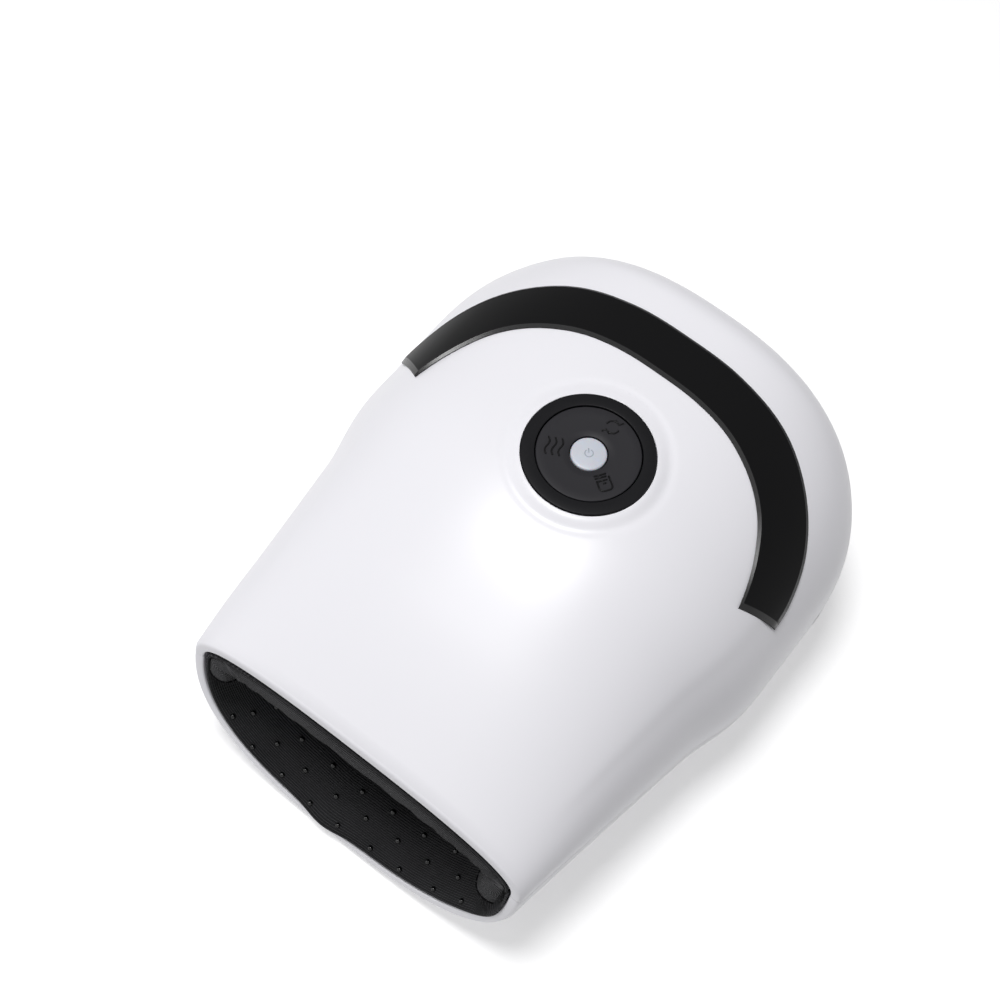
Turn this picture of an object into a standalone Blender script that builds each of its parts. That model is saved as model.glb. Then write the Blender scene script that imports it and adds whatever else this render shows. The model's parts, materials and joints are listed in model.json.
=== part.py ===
# Hand massager: a cordless air massager for one hand, with its mouth facing -Y.
# Metres, +Z up, the middle of its resting plane at the origin. Distances run from the mouth to the rear.

from math import acos, copysign, cos, pi, radians, sin, sqrt

import bmesh
import bpy
from mathutils import Matrix, Vector

# Overall sizes

BODY_LENGTH = 0.220
BODY_WIDTH = 0.175
BODY_HEIGHT = 0.105

# Outer form: widths, heights above the resting plane and distances from the mouth

MOUTH_WIDTH = 0.1366
SLEEVE_WIDTH = 0.1635
SLEEVE_LENGTH = 0.0870
FLARE_LEAD = 0.0077
FLARE_END = 0.1169
ROUND_START = 0.1491
CROWN_ROUND_START = 0.1864
MOUTH_SEAM_HEIGHT = 0.0533
REAR_SEAM_HEIGHT = 0.0375
SEAM_FALL_END = 0.1153
SOLE_HEIGHT = 0.002
MOUTH_CROWN = 0.0714
LOW_SLOPE_DISTANCE = 0.0480
LOW_SLOPE_CROWN = 0.0886
HIGH_SLOPE_DISTANCE = 0.0961
HIGH_SLOPE_CROWN = 0.1015
SHOULDER_DISTANCE = 0.1345
SHOULDER_CROWN = 0.1034
PEAK_DISTANCE = 0.1730
REAR_CROWN = 0.1045
LEAN_REACH = 0.0961
POWER_BLEND_END = 0.1249
MOUTH_LEAN_SHARE = 0.1682
MOUTH_TOP_POWER = 2.667
REAR_TOP_POWER = 2.428
MOUTH_SOLE_POWER = 2.48
REAR_SOLE_POWER = 2.402
PLAN_ROUND_POWER = 2.45
CROWN_ROUND_POWER = 2.124
SOLE_ROUND_POWER = 3.675

# Walls, layers and clearances

SHELL_WALL = 0.0024
RIM_WIDTH = 0.0041
RIM_ROUND = 0.0016
SEAM_GAP = 0.0003
FIT_GAP = 0.0003
MOUTH_GAP = 0.0009
LINER_THICKNESS = 0.0012
HEATER_THICKNESS = 0.0010
NODE_HEIGHT = 0.0020
NODE_PLATE_THICKNESS = 0.0020
AIRBAG_THICKNESS = 0.0046
FRAME_WALL = 0.0018
SIDE_CLEARANCE = 0.0011
CUT_OVERRUN = 0.002

# Hand space

HAND_HALF_WIDTH = 0.0575
HAND_ROOF = 0.0640
HAND_LENGTH = 0.162
HAND_ROUND = 0.018
INNER_FLARE = 0.016
HAND_ROUND_POWER = 2.0
FRAME_START = 0.018
FRAME_END = 0.1435
AIRBAG_START = 0.022
AIRBAG_END = 0.1375

# Dial: the controls on the crown

DIAL_DISTANCE = 0.1190
DIAL_FACE_HEIGHT = 0.1038
DIAL_TILT = radians(1.4)
DIAL_RADIUS = 0.0224
MODE_PLATE_RADIUS = 0.0178
POWER_BUTTON_RADIUS = 0.0061
BUTTON_TRAVEL = 0.0005
SWITCH_RING_RADIUS = 0.0125
SWITCH_ANGLES = (radians(90), radians(210), radians(330))

# Working resolution

HALF_STEPS = 15
INNER_HALF_STEPS = 11
ROUND_STEPS = 8
MERGE = 0.00001
ROUND_SIDES = 18
SMALL_SIDES = 10
TURN_STEPS = 30
SHARP_ANGLE = radians(35)

Z_AXIS = Vector((0, 0, 1))


# Scene, collections and materials

for old in list(bpy.data.objects):
    bpy.data.objects.remove(old, do_unlink=True)

PARTS = bpy.data.collections.new("hand_massager")
CUTTERS = bpy.data.collections.new("cutters")
CUTTERS.hide_render = True
bpy.context.scene.collection.children.link(PARTS)
bpy.context.scene.collection.children.link(CUTTERS)


def finish(obj, colour, roughness, metallic=0.0):
    """Gives a piece its own material."""
    material = bpy.data.materials.new(obj.name + "_finish")
    material.use_nodes = True
    shader = material.node_tree.nodes["Principled BSDF"]
    shader.inputs["Base Color"].default_value = (*colour, 1.0)
    shader.inputs["Roughness"].default_value = roughness
    shader.inputs["Metallic"].default_value = metallic
    material.diffuse_color = (*colour, 1.0)
    obj.data.materials.append(material)
    return obj


GLOSS_WHITE = (0.86, 0.87, 0.89)
BLACK_PLASTIC = (0.012, 0.012, 0.014)
SOFT_BLACK = (0.02, 0.02, 0.022)
PALE_LENS = (0.62, 0.68, 0.72)
KNIT_BLACK = (0.016, 0.016, 0.018)
HEM_GREY = (0.07, 0.07, 0.075)
FRAME_GREY = (0.30, 0.31, 0.33)
BLADDER_GREY = (0.45, 0.47, 0.50)
COPPER_FILM = (0.45, 0.24, 0.12)
BOARD_GREEN = (0.02, 0.16, 0.07)
STEEL = (0.62, 0.62, 0.63)
CELL_BLUE = (0.03, 0.16, 0.34)
RUBBER = (0.025, 0.025, 0.027)
SILICONE = (0.75, 0.76, 0.76)
NATURAL_NYLON = (0.78, 0.76, 0.70)


# Mesh helpers


def place_object(name, mesh, hidden=False, parent=None):
    obj = bpy.data.objects.new(name, mesh)
    (CUTTERS if hidden else PARTS).objects.link(obj)
    obj.parent = parent
    if hidden:
        obj.hide_render = True
        obj.display_type = "WIRE"
    return obj


def object_from(name, bm, hidden=False, parent=None):
    mesh = bpy.data.meshes.new(name)
    bm.to_mesh(mesh)
    bm.free()
    mesh.shade_smooth()
    mesh.set_sharp_from_angle(angle=SHARP_ANGLE)
    return place_object(name, mesh, hidden, parent)


def rod(start, end, radius, sides=SMALL_SIDES, end_radius=None):
    """A round bar or cone between two points."""

    def add(bm):
        run = Vector(end) - Vector(start)
        turn = Z_AXIS.rotation_difference(run).to_matrix().to_4x4()
        middle = Matrix.Translation((Vector(start) + Vector(end)) / 2)
        bmesh.ops.create_cone(
            bm,
            cap_ends=True,
            segments=sides,
            radius1=radius,
            radius2=radius if end_radius is None else end_radius,
            depth=run.length,
            matrix=middle @ turn,
        )

    return add


def block(low, high):
    """A box between two corners."""

    def add(bm):
        low_corner, high_corner = Vector(low), Vector(high)
        size = Matrix.Diagonal(high_corner - low_corner).to_4x4()
        middle = Matrix.Translation((low_corner + high_corner) / 2)
        bmesh.ops.create_cube(bm, size=1, matrix=middle @ size)

    return add


def centred_block(centre, size):
    centre, half = Vector(centre), Vector(size) / 2
    return block(centre - half, centre + half)


def make(name, *shapes, hidden=False, parent=None):
    """One object from shapes that stay clear of each other."""
    bm = bmesh.new()
    for add in shapes:
        add(bm)
    return object_from(name, bm, hidden, parent)


def tool(name, *shapes, parent=None):
    return make(name, *shapes, hidden=True, parent=parent)


def boolean(target, other, operation):
    modifier = target.modifiers.new(operation.lower() + "_" + other.name, "BOOLEAN")
    modifier.operation = operation
    modifier.object = other
    modifier.solver = "EXACT"
    return target


def cut(target, other):
    return boolean(target, other, "DIFFERENCE")


def fuse(target, other):
    return boolean(target, other, "UNION")


def keep(target, other):
    return boolean(target, other, "INTERSECT")



def turned(name, profile, closed=False, hidden=False, parent=None):
    """Turns a profile of (radius, height) points, outer side first and downwards, about Z."""
    bm = bmesh.new()
    points = [bm.verts.new((radius, 0, height)) for radius, height in profile]
    for near, far in zip(points, points[1:]):
        bm.edges.new((near, far))
    if closed:
        bm.edges.new((points[-1], points[0]))
    obj = object_from(name, bm, hidden, parent)
    screw = obj.modifiers.new("turn", "SCREW")
    screw.axis = "Z"
    screw.angle = 2 * pi
    screw.steps = TURN_STEPS
    screw.render_steps = TURN_STEPS
    screw.use_merge_vertices = True
    screw.merge_threshold = MERGE
    screw.use_smooth_shade = True
    return obj


def skin(name, rows, wall=None, outward=False, wrapped=False, hidden=False):
    """A surface through rows of points. A wall gives it thickness, and wrapped rows give a capped solid."""
    bm = bmesh.new()
    grid = [[bm.verts.new(point) for point in row] for row in rows]
    for near, far in zip(grid, grid[1:]):
        count = len(near)
        for k in range(count if wrapped else count - 1):
            after = (k + 1) % count
            bm.faces.new((near[k], far[k], far[after], near[after]))
    if wrapped:
        bm.faces.new(grid[0])
        bm.faces.new(grid[-1])
    bmesh.ops.remove_doubles(bm, verts=bm.verts, dist=MERGE)
    bmesh.ops.dissolve_degenerate(bm, dist=MERGE, edges=bm.edges)
    if wrapped:
        bmesh.ops.recalc_face_normals(bm, faces=bm.faces)
    obj = object_from(name, bm, hidden)
    if wall is not None:
        solid = obj.modifiers.new("wall", "SOLIDIFY")
        solid.thickness = wall
        solid.offset = 1 if outward else -1
        solid.use_even_offset = True
        solid.use_quality_normals = True
    return obj


def smooth_path(points, per_span):
    """Points on a smooth curve through the given ones."""
    lengths = [(far - near).length for near, far in zip(points, points[1:])]
    ways = [(far - near) / length for near, far, length in zip(points, points[1:], lengths)]
    slopes = [ways[0]]
    for k in range(1, len(ways)):
        slopes.append(mix(ways[k - 1], ways[k], lengths[k - 1] / (lengths[k - 1] + lengths[k])))
    slopes.append(ways[-1])
    path = []
    for k, length in enumerate(lengths):
        near, far = points[k], points[k + 1]
        for step in range(per_span):
            t = step / per_span
            place = mix(near, far, t * t * (3 - 2 * t))
            path.append(place + (slopes[k] * (1 - t) - slopes[k + 1] * t) * t * (1 - t) * length)
    return path + [points[-1]]


def run(start, way_out, middle, end, way_in, stub):
    """A path whose two ends leave along their ports."""
    return [start, start + way_out * stub, *middle, end + way_in * stub, end]


def tube(name, path, radius, sides_setting=1):
    """A tube along a path, with closed ends."""
    curve = bpy.data.curves.new(name, "CURVE")
    curve.dimensions = "3D"
    curve.bevel_depth = radius
    curve.bevel_resolution = sides_setting
    curve.use_fill_caps = True
    spline = curve.splines.new("POLY")
    spline.points.add(len(path) - 1)
    for point, place in zip(spline.points, path):
        point.co = (*place, 1)
    return place_object(name, curve)


# Outer form


def smooth(share):
    share = min(max(share, 0), 1)
    return share * share * (3 - 2 * share)


def mix(first, second, share):
    return first + (second - first) * share


# The raked mouth's lower lip reaches ahead of the seam, where distances start.
LIP_REACH = MOUTH_LEAN_SHARE * (MOUTH_SEAM_HEIGHT - SOLE_HEIGHT)
SEAM_LENGTH = BODY_LENGTH - LIP_REACH


def along(distance):
    return distance + LIP_REACH - BODY_LENGTH / 2


def through(stations, values, at):
    """Reads a smooth line through named stations."""
    last = len(stations) - 1
    slopes = []
    for k in range(last + 1):
        before, after = max(k - 1, 0), min(k + 1, last)
        slopes.append((values[after] - values[before]) / (stations[after] - stations[before]))
    k = max(j for j in range(last) if j == 0 or stations[j] <= at)
    span = stations[k + 1] - stations[k]
    t = (at - stations[k]) / span
    rise = (2 * t**3 - 3 * t**2 + 1) * values[k] + (3 * t**2 - 2 * t**3) * values[k + 1]
    return rise + span * ((t**3 - 2 * t**2 + t) * slopes[k] + (t**3 - t**2) * slopes[k + 1])


def closing(distance, start, end, power):
    """Falls from 1 at the start of a rounded end to 0 at its tip."""
    share = min(max((distance - start) / (end - start), 0), 1)
    return (1 - share**power) ** (1 / power)


def crown_line(distance):
    stations = (0, LOW_SLOPE_DISTANCE, HIGH_SLOPE_DISTANCE, SHOULDER_DISTANCE, PEAK_DISTANCE, SEAM_LENGTH)
    peak = BODY_HEIGHT - TRIM_GAP - TRIM_THICKNESS
    heights = (MOUTH_CROWN, LOW_SLOPE_CROWN, HIGH_SLOPE_CROWN, SHOULDER_CROWN, peak, REAR_CROWN)
    return through(stations, heights, distance)


def seam_line(distance):
    return mix(MOUTH_SEAM_HEIGHT, REAR_SEAM_HEIGHT, smooth(distance / SEAM_FALL_END))


class Section:
    """One upright cut across the body or the tunnel: two half superellipses that meet at the seam."""

    def __init__(self, distance, half_width, middle, top, bottom):
        self.distance = distance
        self.half_width = half_width
        self.middle = middle
        self.top = top
        self.bottom = bottom
        blend = smooth(distance / POWER_BLEND_END)
        self.top_power = mix(MOUTH_TOP_POWER, REAR_TOP_POWER, blend)
        self.bottom_power = mix(MOUTH_SOLE_POWER, REAR_SOLE_POWER, blend)

    def split(self, shift):
        """The same cut with its seam moved up or down, for the gap between two halves."""
        return Section(self.distance, self.half_width, self.middle + shift, self.top, self.bottom)

    def point(self, angle, side=0, up=0, down=0):
        across, rise = cos(angle), sin(angle)
        above = rise > 0
        power = self.top_power if above else self.bottom_power
        reach = self.top - self.middle + up if above else self.middle - self.bottom + down
        x = (self.half_width + side) * copysign(abs(across) ** (2 / power), across)
        z = copysign(reach * abs(rise) ** (2 / power), rise)
        lean = MOUTH_LEAN_SHARE * z * (1 - smooth(self.distance / LEAN_REACH))
        return Vector((x, along(self.distance) + lean, self.middle + z))

    def row(self, angles, side=0, up=0, down=0):
        return [self.point(angle, side, up, down) for angle in angles]


def body_section(distance, inset=0):
    """The cut of the outer form, or of a form that lies inside it by the inset."""
    sleeve = mix(MOUTH_WIDTH, SLEEVE_WIDTH, distance / SLEEVE_LENGTH) / 2
    flare_start = SLEEVE_LENGTH - FLARE_LEAD
    flare = smooth((distance - flare_start) / (FLARE_END - flare_start))
    tip = SEAM_LENGTH - inset
    half_width = (mix(sleeve, BODY_WIDTH / 2, flare) - inset) * closing(
        distance, ROUND_START, tip, PLAN_ROUND_POWER
    )
    middle = seam_line(distance)
    rise = crown_line(min(distance, SEAM_LENGTH)) - middle - inset
    top = middle + rise * closing(distance, CROWN_ROUND_START, tip, CROWN_ROUND_POWER)
    fall = middle - SOLE_HEIGHT - inset
    bottom = middle - fall * closing(distance, ROUND_START, tip, SOLE_ROUND_POWER)
    return Section(distance, half_width, middle, top, bottom)


def crown_height(x, distance, outset=0):
    """Height of the outer form's upper side above a point of the plan."""
    cut_here = body_section(distance, -outset)
    share = min(abs(x) / cut_here.half_width, 1)
    power = cut_here.top_power
    return cut_here.middle + (cut_here.top - cut_here.middle) * (1 - share**power) ** (1 / power)


def spread(start, end, count):
    return [mix(start, end, k / count) for k in range(count + 1)]


def rounding(start, end, count):
    return [start + (end - start) * sin(k / count * pi / 2) for k in range(1, count + 1)]


UPPER_HALF = spread(0, pi, INNER_HALF_STEPS)
LOWER_HALF = spread(pi, 2 * pi, INNER_HALF_STEPS)
WHOLE_ROUND = spread(0, 2 * pi, 2 * HALF_STEPS)[:-1]
SLEEVE_STEPS = 4
FLARE_STEPS = 4
STRAIGHT_STEPS = 2
SEAM_STEPS = 14
NEAR_TIP_SHARE = 0.02


def body_stations(start, tip):
    flare_start = SLEEVE_LENGTH - FLARE_LEAD
    stations = spread(start, flare_start, SLEEVE_STEPS)
    stations += spread(flare_start, FLARE_END, FLARE_STEPS)[1:]
    stations += spread(FLARE_END, ROUND_START, STRAIGHT_STEPS)[1:]
    return stations + rounding(ROUND_START, tip, ROUND_STEPS)


def body_core(name, inset, start=0):
    """A closed form inside the body, which trims what is built onto a wall."""
    rows = [body_section(d, inset).row(WHOLE_ROUND) for d in body_stations(start, SEAM_LENGTH - inset)]
    tip = rows.pop()[0]
    near_tip = [mix(point, tip, 1 - NEAR_TIP_SHARE) for point in rows[-1]]
    return skin(name, rows + [near_tip], wrapped=True, hidden=True)


def far_side_of_seam(name, upper):
    """A block that holds all on one side of the seam, and half of the seam's gap."""
    shift = SEAM_GAP / 2 if upper else -SEAM_GAP / 2
    far = -BODY_HEIGHT if upper else 2 * BODY_HEIGHT
    rows = []
    for distance in spread(-SLEEVE_LENGTH, SEAM_FALL_END, SEAM_STEPS) + [2 * BODY_LENGTH]:
        y, z = along(distance), seam_line(distance) + shift
        corners = ((-BODY_WIDTH, far), (BODY_WIDTH, far), (BODY_WIDTH, z), (-BODY_WIDTH, z))
        rows.append([Vector((x, y, height)) for x, height in corners])
    return skin(name, rows, wrapped=True, hidden=True)


def half_shell(name, upper):
    angles = WHOLE_ROUND + [2 * pi]
    mouth = body_section(0)
    rows = [mouth.row(angles, -RIM_WIDTH, -RIM_WIDTH, -RIM_WIDTH)]
    rows.append(mouth.row(angles, -RIM_ROUND, -RIM_ROUND, -RIM_ROUND))
    rows += [body_section(d).row(angles) for d in body_stations(RIM_ROUND, SEAM_LENGTH)]
    return cut(skin(name, rows, wall=SHELL_WALL), far_side_of_seam(name + "_far_side", upper))


# Tunnel for the hand: the liner's inner side, with the layers behind it

UPPER_BAG_DEPTH = LINER_THICKNESS + FIT_GAP + HEATER_THICKNESS + FIT_GAP
UPPER_FRAME_DEPTH = UPPER_BAG_DEPTH + AIRBAG_THICKNESS + 3 * FIT_GAP
NODE_PLATE_DEPTH = LINER_THICKNESS + FIT_GAP + NODE_HEIGHT + FIT_GAP
LOWER_BAG_DEPTH = NODE_PLATE_DEPTH + NODE_PLATE_THICKNESS + 2 * FIT_GAP
LOWER_FRAME_DEPTH = LOWER_BAG_DEPTH + AIRBAG_THICKNESS + 2 * FIT_GAP
FLOOR_DEPTH = LOWER_FRAME_DEPTH + FRAME_WALL + FIT_GAP + SHELL_WALL
SIDE_DEPTH = UPPER_FRAME_DEPTH + FRAME_WALL + SIDE_CLEARANCE + SHELL_WALL
MOUTH_DEPTH = RIM_WIDTH + MOUTH_GAP + LINER_THICKNESS


def tunnel_section(distance, deeper=0):
    """The cut of the liner's inner side. The liner's outer side closes a little deeper at the rear."""
    outer = body_section(min(distance, ROUND_START))
    mouth = body_section(0)
    share = smooth(distance / INNER_FLARE)
    mouth_half = mouth.half_width - MOUTH_DEPTH
    half_width = mix(mouth_half, min(outer.half_width - SIDE_DEPTH, HAND_HALF_WIDTH), share)
    top = mix(mouth.top - MOUTH_DEPTH, HAND_ROOF, share)
    bottom = SOLE_HEIGHT + mix(MOUTH_DEPTH, FLOOR_DEPTH, share)
    middle = outer.middle
    end = closing(distance, HAND_LENGTH - HAND_ROUND, HAND_LENGTH + deeper, HAND_ROUND_POWER)
    half_width *= end
    top = middle + (top - middle) * end
    bottom = middle - (middle - bottom) * end
    return Section(distance, half_width, middle, top, bottom)


def tunnel_stations(start, end, longest_step):
    count = max(1, round((end - start) / longest_step))
    return spread(start, end, count)


TUNNEL_STEP = 0.026


def tunnel_layer(name, angles, start, end, depth, wall, shift=0, below=None):
    """A layer behind the liner: its inner side lies deeper than the liner's by the depth."""
    down = depth if below is None else below
    rows = [
        tunnel_section(d).split(shift).row(angles, depth, depth, down)
        for d in tunnel_stations(start, end, TUNNEL_STEP)
    ]
    return skin(name, rows, wall=wall, outward=True)


def tunnel_core(name, side, up, down):
    rows = [
        tunnel_section(d).row(WHOLE_ROUND, side, up, down)
        for d in tunnel_stations(FRAME_START, FRAME_END, TUNNEL_STEP)
    ]
    return skin(name, rows, wrapped=True, hidden=True)


# Dial's own frame: its origin in the middle of the dial's face, +Z out of it

dial_frame = bpy.data.objects.new("dial_frame", None)
dial_frame.location = (0, along(DIAL_DISTANCE), DIAL_FACE_HEIGHT)
dial_frame.rotation_euler = (DIAL_TILT, 0, 0)
PARTS.objects.link(dial_frame)

# Bezel, from its face down: values under the face are negative

BEZEL_RING_DEPTH = 0.0032
BEZEL_SKIRT_WALL = 0.0014
FLANGE_TOP = -0.0062
FLANGE_THICKNESS = 0.0018
FLANGE_RADIUS = 0.0262
BEZEL_EDGE = 0.0005


def round_places(radius, angles, height):
    return [Vector((radius * cos(angle), radius * sin(angle), height)) for angle in angles]


def build_bezel():
    inner = MODE_PLATE_RADIUS + FIT_GAP
    skirt_inner = DIAL_RADIUS - BEZEL_SKIRT_WALL
    flange_bottom = FLANGE_TOP - FLANGE_THICKNESS
    profile = [
        (inner, -BEZEL_EDGE),
        (inner + BEZEL_EDGE, 0),
        (DIAL_RADIUS - BEZEL_EDGE, 0),
        (DIAL_RADIUS, -BEZEL_EDGE),
        (DIAL_RADIUS, FLANGE_TOP),
        (FLANGE_RADIUS, FLANGE_TOP),
        (FLANGE_RADIUS, flange_bottom),
        (skirt_inner, flange_bottom),
        (skirt_inner, -BEZEL_RING_DEPTH),
        (inner, -BEZEL_RING_DEPTH),
    ]
    bezel = turned("dial_bezel", profile, closed=True, parent=dial_frame)
    finish(bezel, BLACK_PLASTIC, 0.28)


def screw_shape(head_end, seat, tip, head_radius, shank_radius, sides=SMALL_SIDES):
    """One closed screw: a head with a flat seat and a plain shank."""

    def add(bm):
        run = Vector(tip) - Vector(head_end)
        turn = Z_AXIS.rotation_difference(run).to_matrix()
        head = (Vector(seat) - Vector(head_end)).length
        outline = ((head_radius, 0), (head_radius, head), (shank_radius, head), (shank_radius, run.length))
        rings = []
        for radius, height in outline:
            ring = []
            for k in range(sides):
                angle = 2 * pi * k / sides
                local = Vector((radius * cos(angle), radius * sin(angle), height))
                ring.append(bm.verts.new(Vector(head_end) + turn @ local))
            rings.append(ring)
        bm.faces.new(list(reversed(rings[0])))
        bm.faces.new(rings[-1])
        for near, far in zip(rings, rings[1:]):
            for k in range(sides):
                after = (k + 1) % sides
                bm.faces.new((near[k], near[after], far[after], far[k]))

    return add


# Mode plate and power button

MODE_PLATE_DROP = 0.0005
MODE_PLATE_THICKNESS = 0.0020
MODE_PLATE_HOLE = POWER_BUTTON_RADIUS + FIT_GAP
MODE_LEG_RADIUS = 0.0018
BUTTON_RISE = 0.0002
BUTTON_THICKNESS = 0.0026
BUTTON_EDGE = 0.0004
BUTTON_STEM_RADIUS = 0.0022

# Control board, parallel to the dial's face

BOARD_TOP = -0.0205
BOARD_THICKNESS = 0.0016
BOARD_LENGTH = 0.056
BOARD_DEPTH = 0.046
BOARD_SCREW_X = 0.0245
BOARD_SCREW_Y = 0.0195
BOARD_SCREW_RADIUS = 0.0009
BOARD_SCREW_HEAD_RADIUS = 0.0019
BOARD_SCREW_HEAD_HEIGHT = 0.0012
BOARD_SCREW_DEPTH = 0.0050
BOARD_POST_RADIUS = 0.0024
SWITCH_SIDE = 0.0060
SWITCH_HEIGHT = 0.0034
SWITCH_WELL_RADIUS = 0.0020
SWITCH_WELL_DEPTH = 0.0014
PLUNGER_RADIUS = 0.0017
PLUNGER_RISE = 0.0016
PLUNGER_FLOOR_GAP = BUTTON_TRAVEL + FIT_GAP

switch_base = BOARD_TOP + FIT_GAP
switch_top = switch_base + SWITCH_HEIGHT
plunger_top = switch_top + PLUNGER_RISE
plunger_bottom = switch_top - SWITCH_WELL_DEPTH + PLUNGER_FLOOR_GAP
leg_bottom = plunger_top + FIT_GAP


def build_controls():
    plate_top = -MODE_PLATE_DROP
    plate_bottom = plate_top - MODE_PLATE_THICKNESS
    profile = [
        (MODE_PLATE_HOLE, plate_top),
        (MODE_PLATE_RADIUS - BUTTON_EDGE, plate_top),
        (MODE_PLATE_RADIUS, plate_top - BUTTON_EDGE),
        (MODE_PLATE_RADIUS, plate_bottom),
        (MODE_PLATE_HOLE, plate_bottom),
    ]
    plate = turned("mode_plate", profile, closed=True, parent=dial_frame)
    middle = (plate_top + plate_bottom) / 2
    legs = [
        rod(place, Vector((place.x, place.y, leg_bottom)), MODE_LEG_RADIUS)
        for place in round_places(SWITCH_RING_RADIUS, SWITCH_ANGLES, middle)
    ]
    fuse(plate, tool("mode_legs", *legs, parent=dial_frame))
    finish(plate, SOFT_BLACK, 0.38)

    button_bottom = BUTTON_RISE - BUTTON_THICKNESS
    profile = [
        (0, BUTTON_RISE),
        (POWER_BUTTON_RADIUS - BUTTON_EDGE, BUTTON_RISE),
        (POWER_BUTTON_RADIUS, BUTTON_RISE - BUTTON_EDGE),
        (POWER_BUTTON_RADIUS, button_bottom),
        (BUTTON_STEM_RADIUS, button_bottom),
        (BUTTON_STEM_RADIUS, leg_bottom),
        (0, leg_bottom),
    ]
    button = turned("power_button", profile, parent=dial_frame)
    finish(button, PALE_LENS, 0.3)


def board_corner(side_x, side_y, height):
    return Vector((side_x * BOARD_SCREW_X, side_y * BOARD_SCREW_Y, height))


def build_board():
    half = Vector((BOARD_LENGTH / 2, BOARD_DEPTH / 2, 0))
    low = Vector((-half.x, -half.y, BOARD_TOP - BOARD_THICKNESS))
    board = make("main_board", block(low, Vector((half.x, half.y, BOARD_TOP))), parent=dial_frame)
    fuse(board, tool("board_chips", *chip_blocks(), parent=dial_frame))
    fuse(board, tool("board_lamps", *lamp_blocks(), parent=dial_frame))
    fuse(board, tool("board_plugs", *plug_blocks(), parent=dial_frame))
    up = Vector((0, 0, 1))
    corners = [board_corner(side, side, BOARD_TOP) for side in (-1, 1)]
    holes = [
        rod(p - up * (BOARD_THICKNESS + CUT_OVERRUN), p + up * CUT_OVERRUN, BOARD_SCREW_RADIUS + FIT_GAP)
        for p in corners
    ]
    cut(board, tool("board_holes", *holes, parent=dial_frame))
    finish(board, BOARD_GREEN, 0.45)
    for place, label in zip(corners, ("front", "rear")):
        seat = place + up * FIT_GAP
        head = seat + up * BOARD_SCREW_HEAD_HEIGHT
        tip = place - up * (BOARD_THICKNESS + BOARD_SCREW_DEPTH)
        shape = screw_shape(head, seat, tip, BOARD_SCREW_HEAD_RADIUS, BOARD_SCREW_RADIUS)
        finish(make("board_screw_" + label, shape, parent=dial_frame), STEEL, 0.35, 1.0)


def build_switches():
    rise = Vector((0, 0, SWITCH_HEIGHT))
    places = [Vector((0, 0, switch_base))] + round_places(SWITCH_RING_RADIUS, SWITCH_ANGLES, switch_base)
    for place, label in zip(places, ("power", "mode_rear", "mode_left", "mode_right")):
        size = (SWITCH_SIDE, SWITCH_SIDE, SWITCH_HEIGHT)
        body = make(label + "_switch", centred_block(place + rise / 2, size), parent=dial_frame)
        top = place + rise
        well = rod(
            top - Vector((0, 0, SWITCH_WELL_DEPTH)), top + Vector((0, 0, CUT_OVERRUN)), SWITCH_WELL_RADIUS
        )
        cut(body, tool(label + "_switch_well", well, parent=dial_frame))
        finish(body, BLACK_PLASTIC, 0.5)
        start, end = Vector((place.x, place.y, plunger_bottom)), Vector((place.x, place.y, plunger_top))
        plunger = make(label + "_plunger", rod(start, end, PLUNGER_RADIUS), parent=dial_frame)
        finish(plunger, NATURAL_NYLON, 0.5)


# What else sits on the board: (x, y, length, depth, height), in the board's plane

CHIPS = (
    (-0.017, 0.009, 0.008, 0.008, 0.0012),
    (0.018, 0.008, 0.005, 0.004, 0.0012),
    (-0.018, -0.008, 0.006, 0.005, 0.0022),
)
LAMP_CIRCLE = 0.0072
LAMP_ANGLES = (radians(45), radians(135), radians(225), radians(315))
LAMP_SIDE = 0.0020
LAMP_HEIGHT = 0.0008
BUZZER_X = 0.0165
BUZZER_Y = -0.0145
BUZZER_RADIUS = 0.0042
BUZZER_HEIGHT = 0.0045
CONNECTOR_SIZE = (0.0050, 0.0045, 0.0040)
REAR_CONNECTORS_X = (-0.013, 0.002, 0.014)
SIDE_CONNECTOR_Y = 0.006
CONNECTOR_EDGE = 0.0010


def connector_places():
    """The four plugs: three at the board's rear edge, one at its right edge."""
    length, depth, height = CONNECTOR_SIZE
    z = BOARD_TOP - FIT_GAP + height / 2
    rear_y = BOARD_DEPTH / 2 - CONNECTOR_EDGE - depth / 2
    rear = [Vector((x, rear_y, z)) for x in REAR_CONNECTORS_X]
    side = Vector((BOARD_LENGTH / 2 - CONNECTOR_EDGE - length / 2, SIDE_CONNECTOR_Y, z))
    return rear + [side]


def chip_blocks():
    root = BOARD_TOP - FIT_GAP
    return [
        block((x - length / 2, y - depth / 2, root), (x + length / 2, y + depth / 2, BOARD_TOP + height))
        for x, y, length, depth, height in CHIPS
    ]


def lamp_blocks():
    size = (LAMP_SIDE, LAMP_SIDE, 2 * LAMP_HEIGHT)
    return [centred_block(place, size) for place in round_places(LAMP_CIRCLE, LAMP_ANGLES, BOARD_TOP)]


def plug_blocks():
    return [centred_block(place, CONNECTOR_SIZE) for place in connector_places()]


def build_buzzer():
    base = Vector((BUZZER_X, BUZZER_Y, BOARD_TOP + FIT_GAP))
    sound_hole = base + Vector((0, 0, BUZZER_HEIGHT))
    buzzer = make("buzzer", rod(base, sound_hole, BUZZER_RADIUS, ROUND_SIDES), parent=dial_frame)
    finish(buzzer, BLACK_PLASTIC, 0.4)


# Case screws: four wells in the bottom shell, four posts in the top shell

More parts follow.
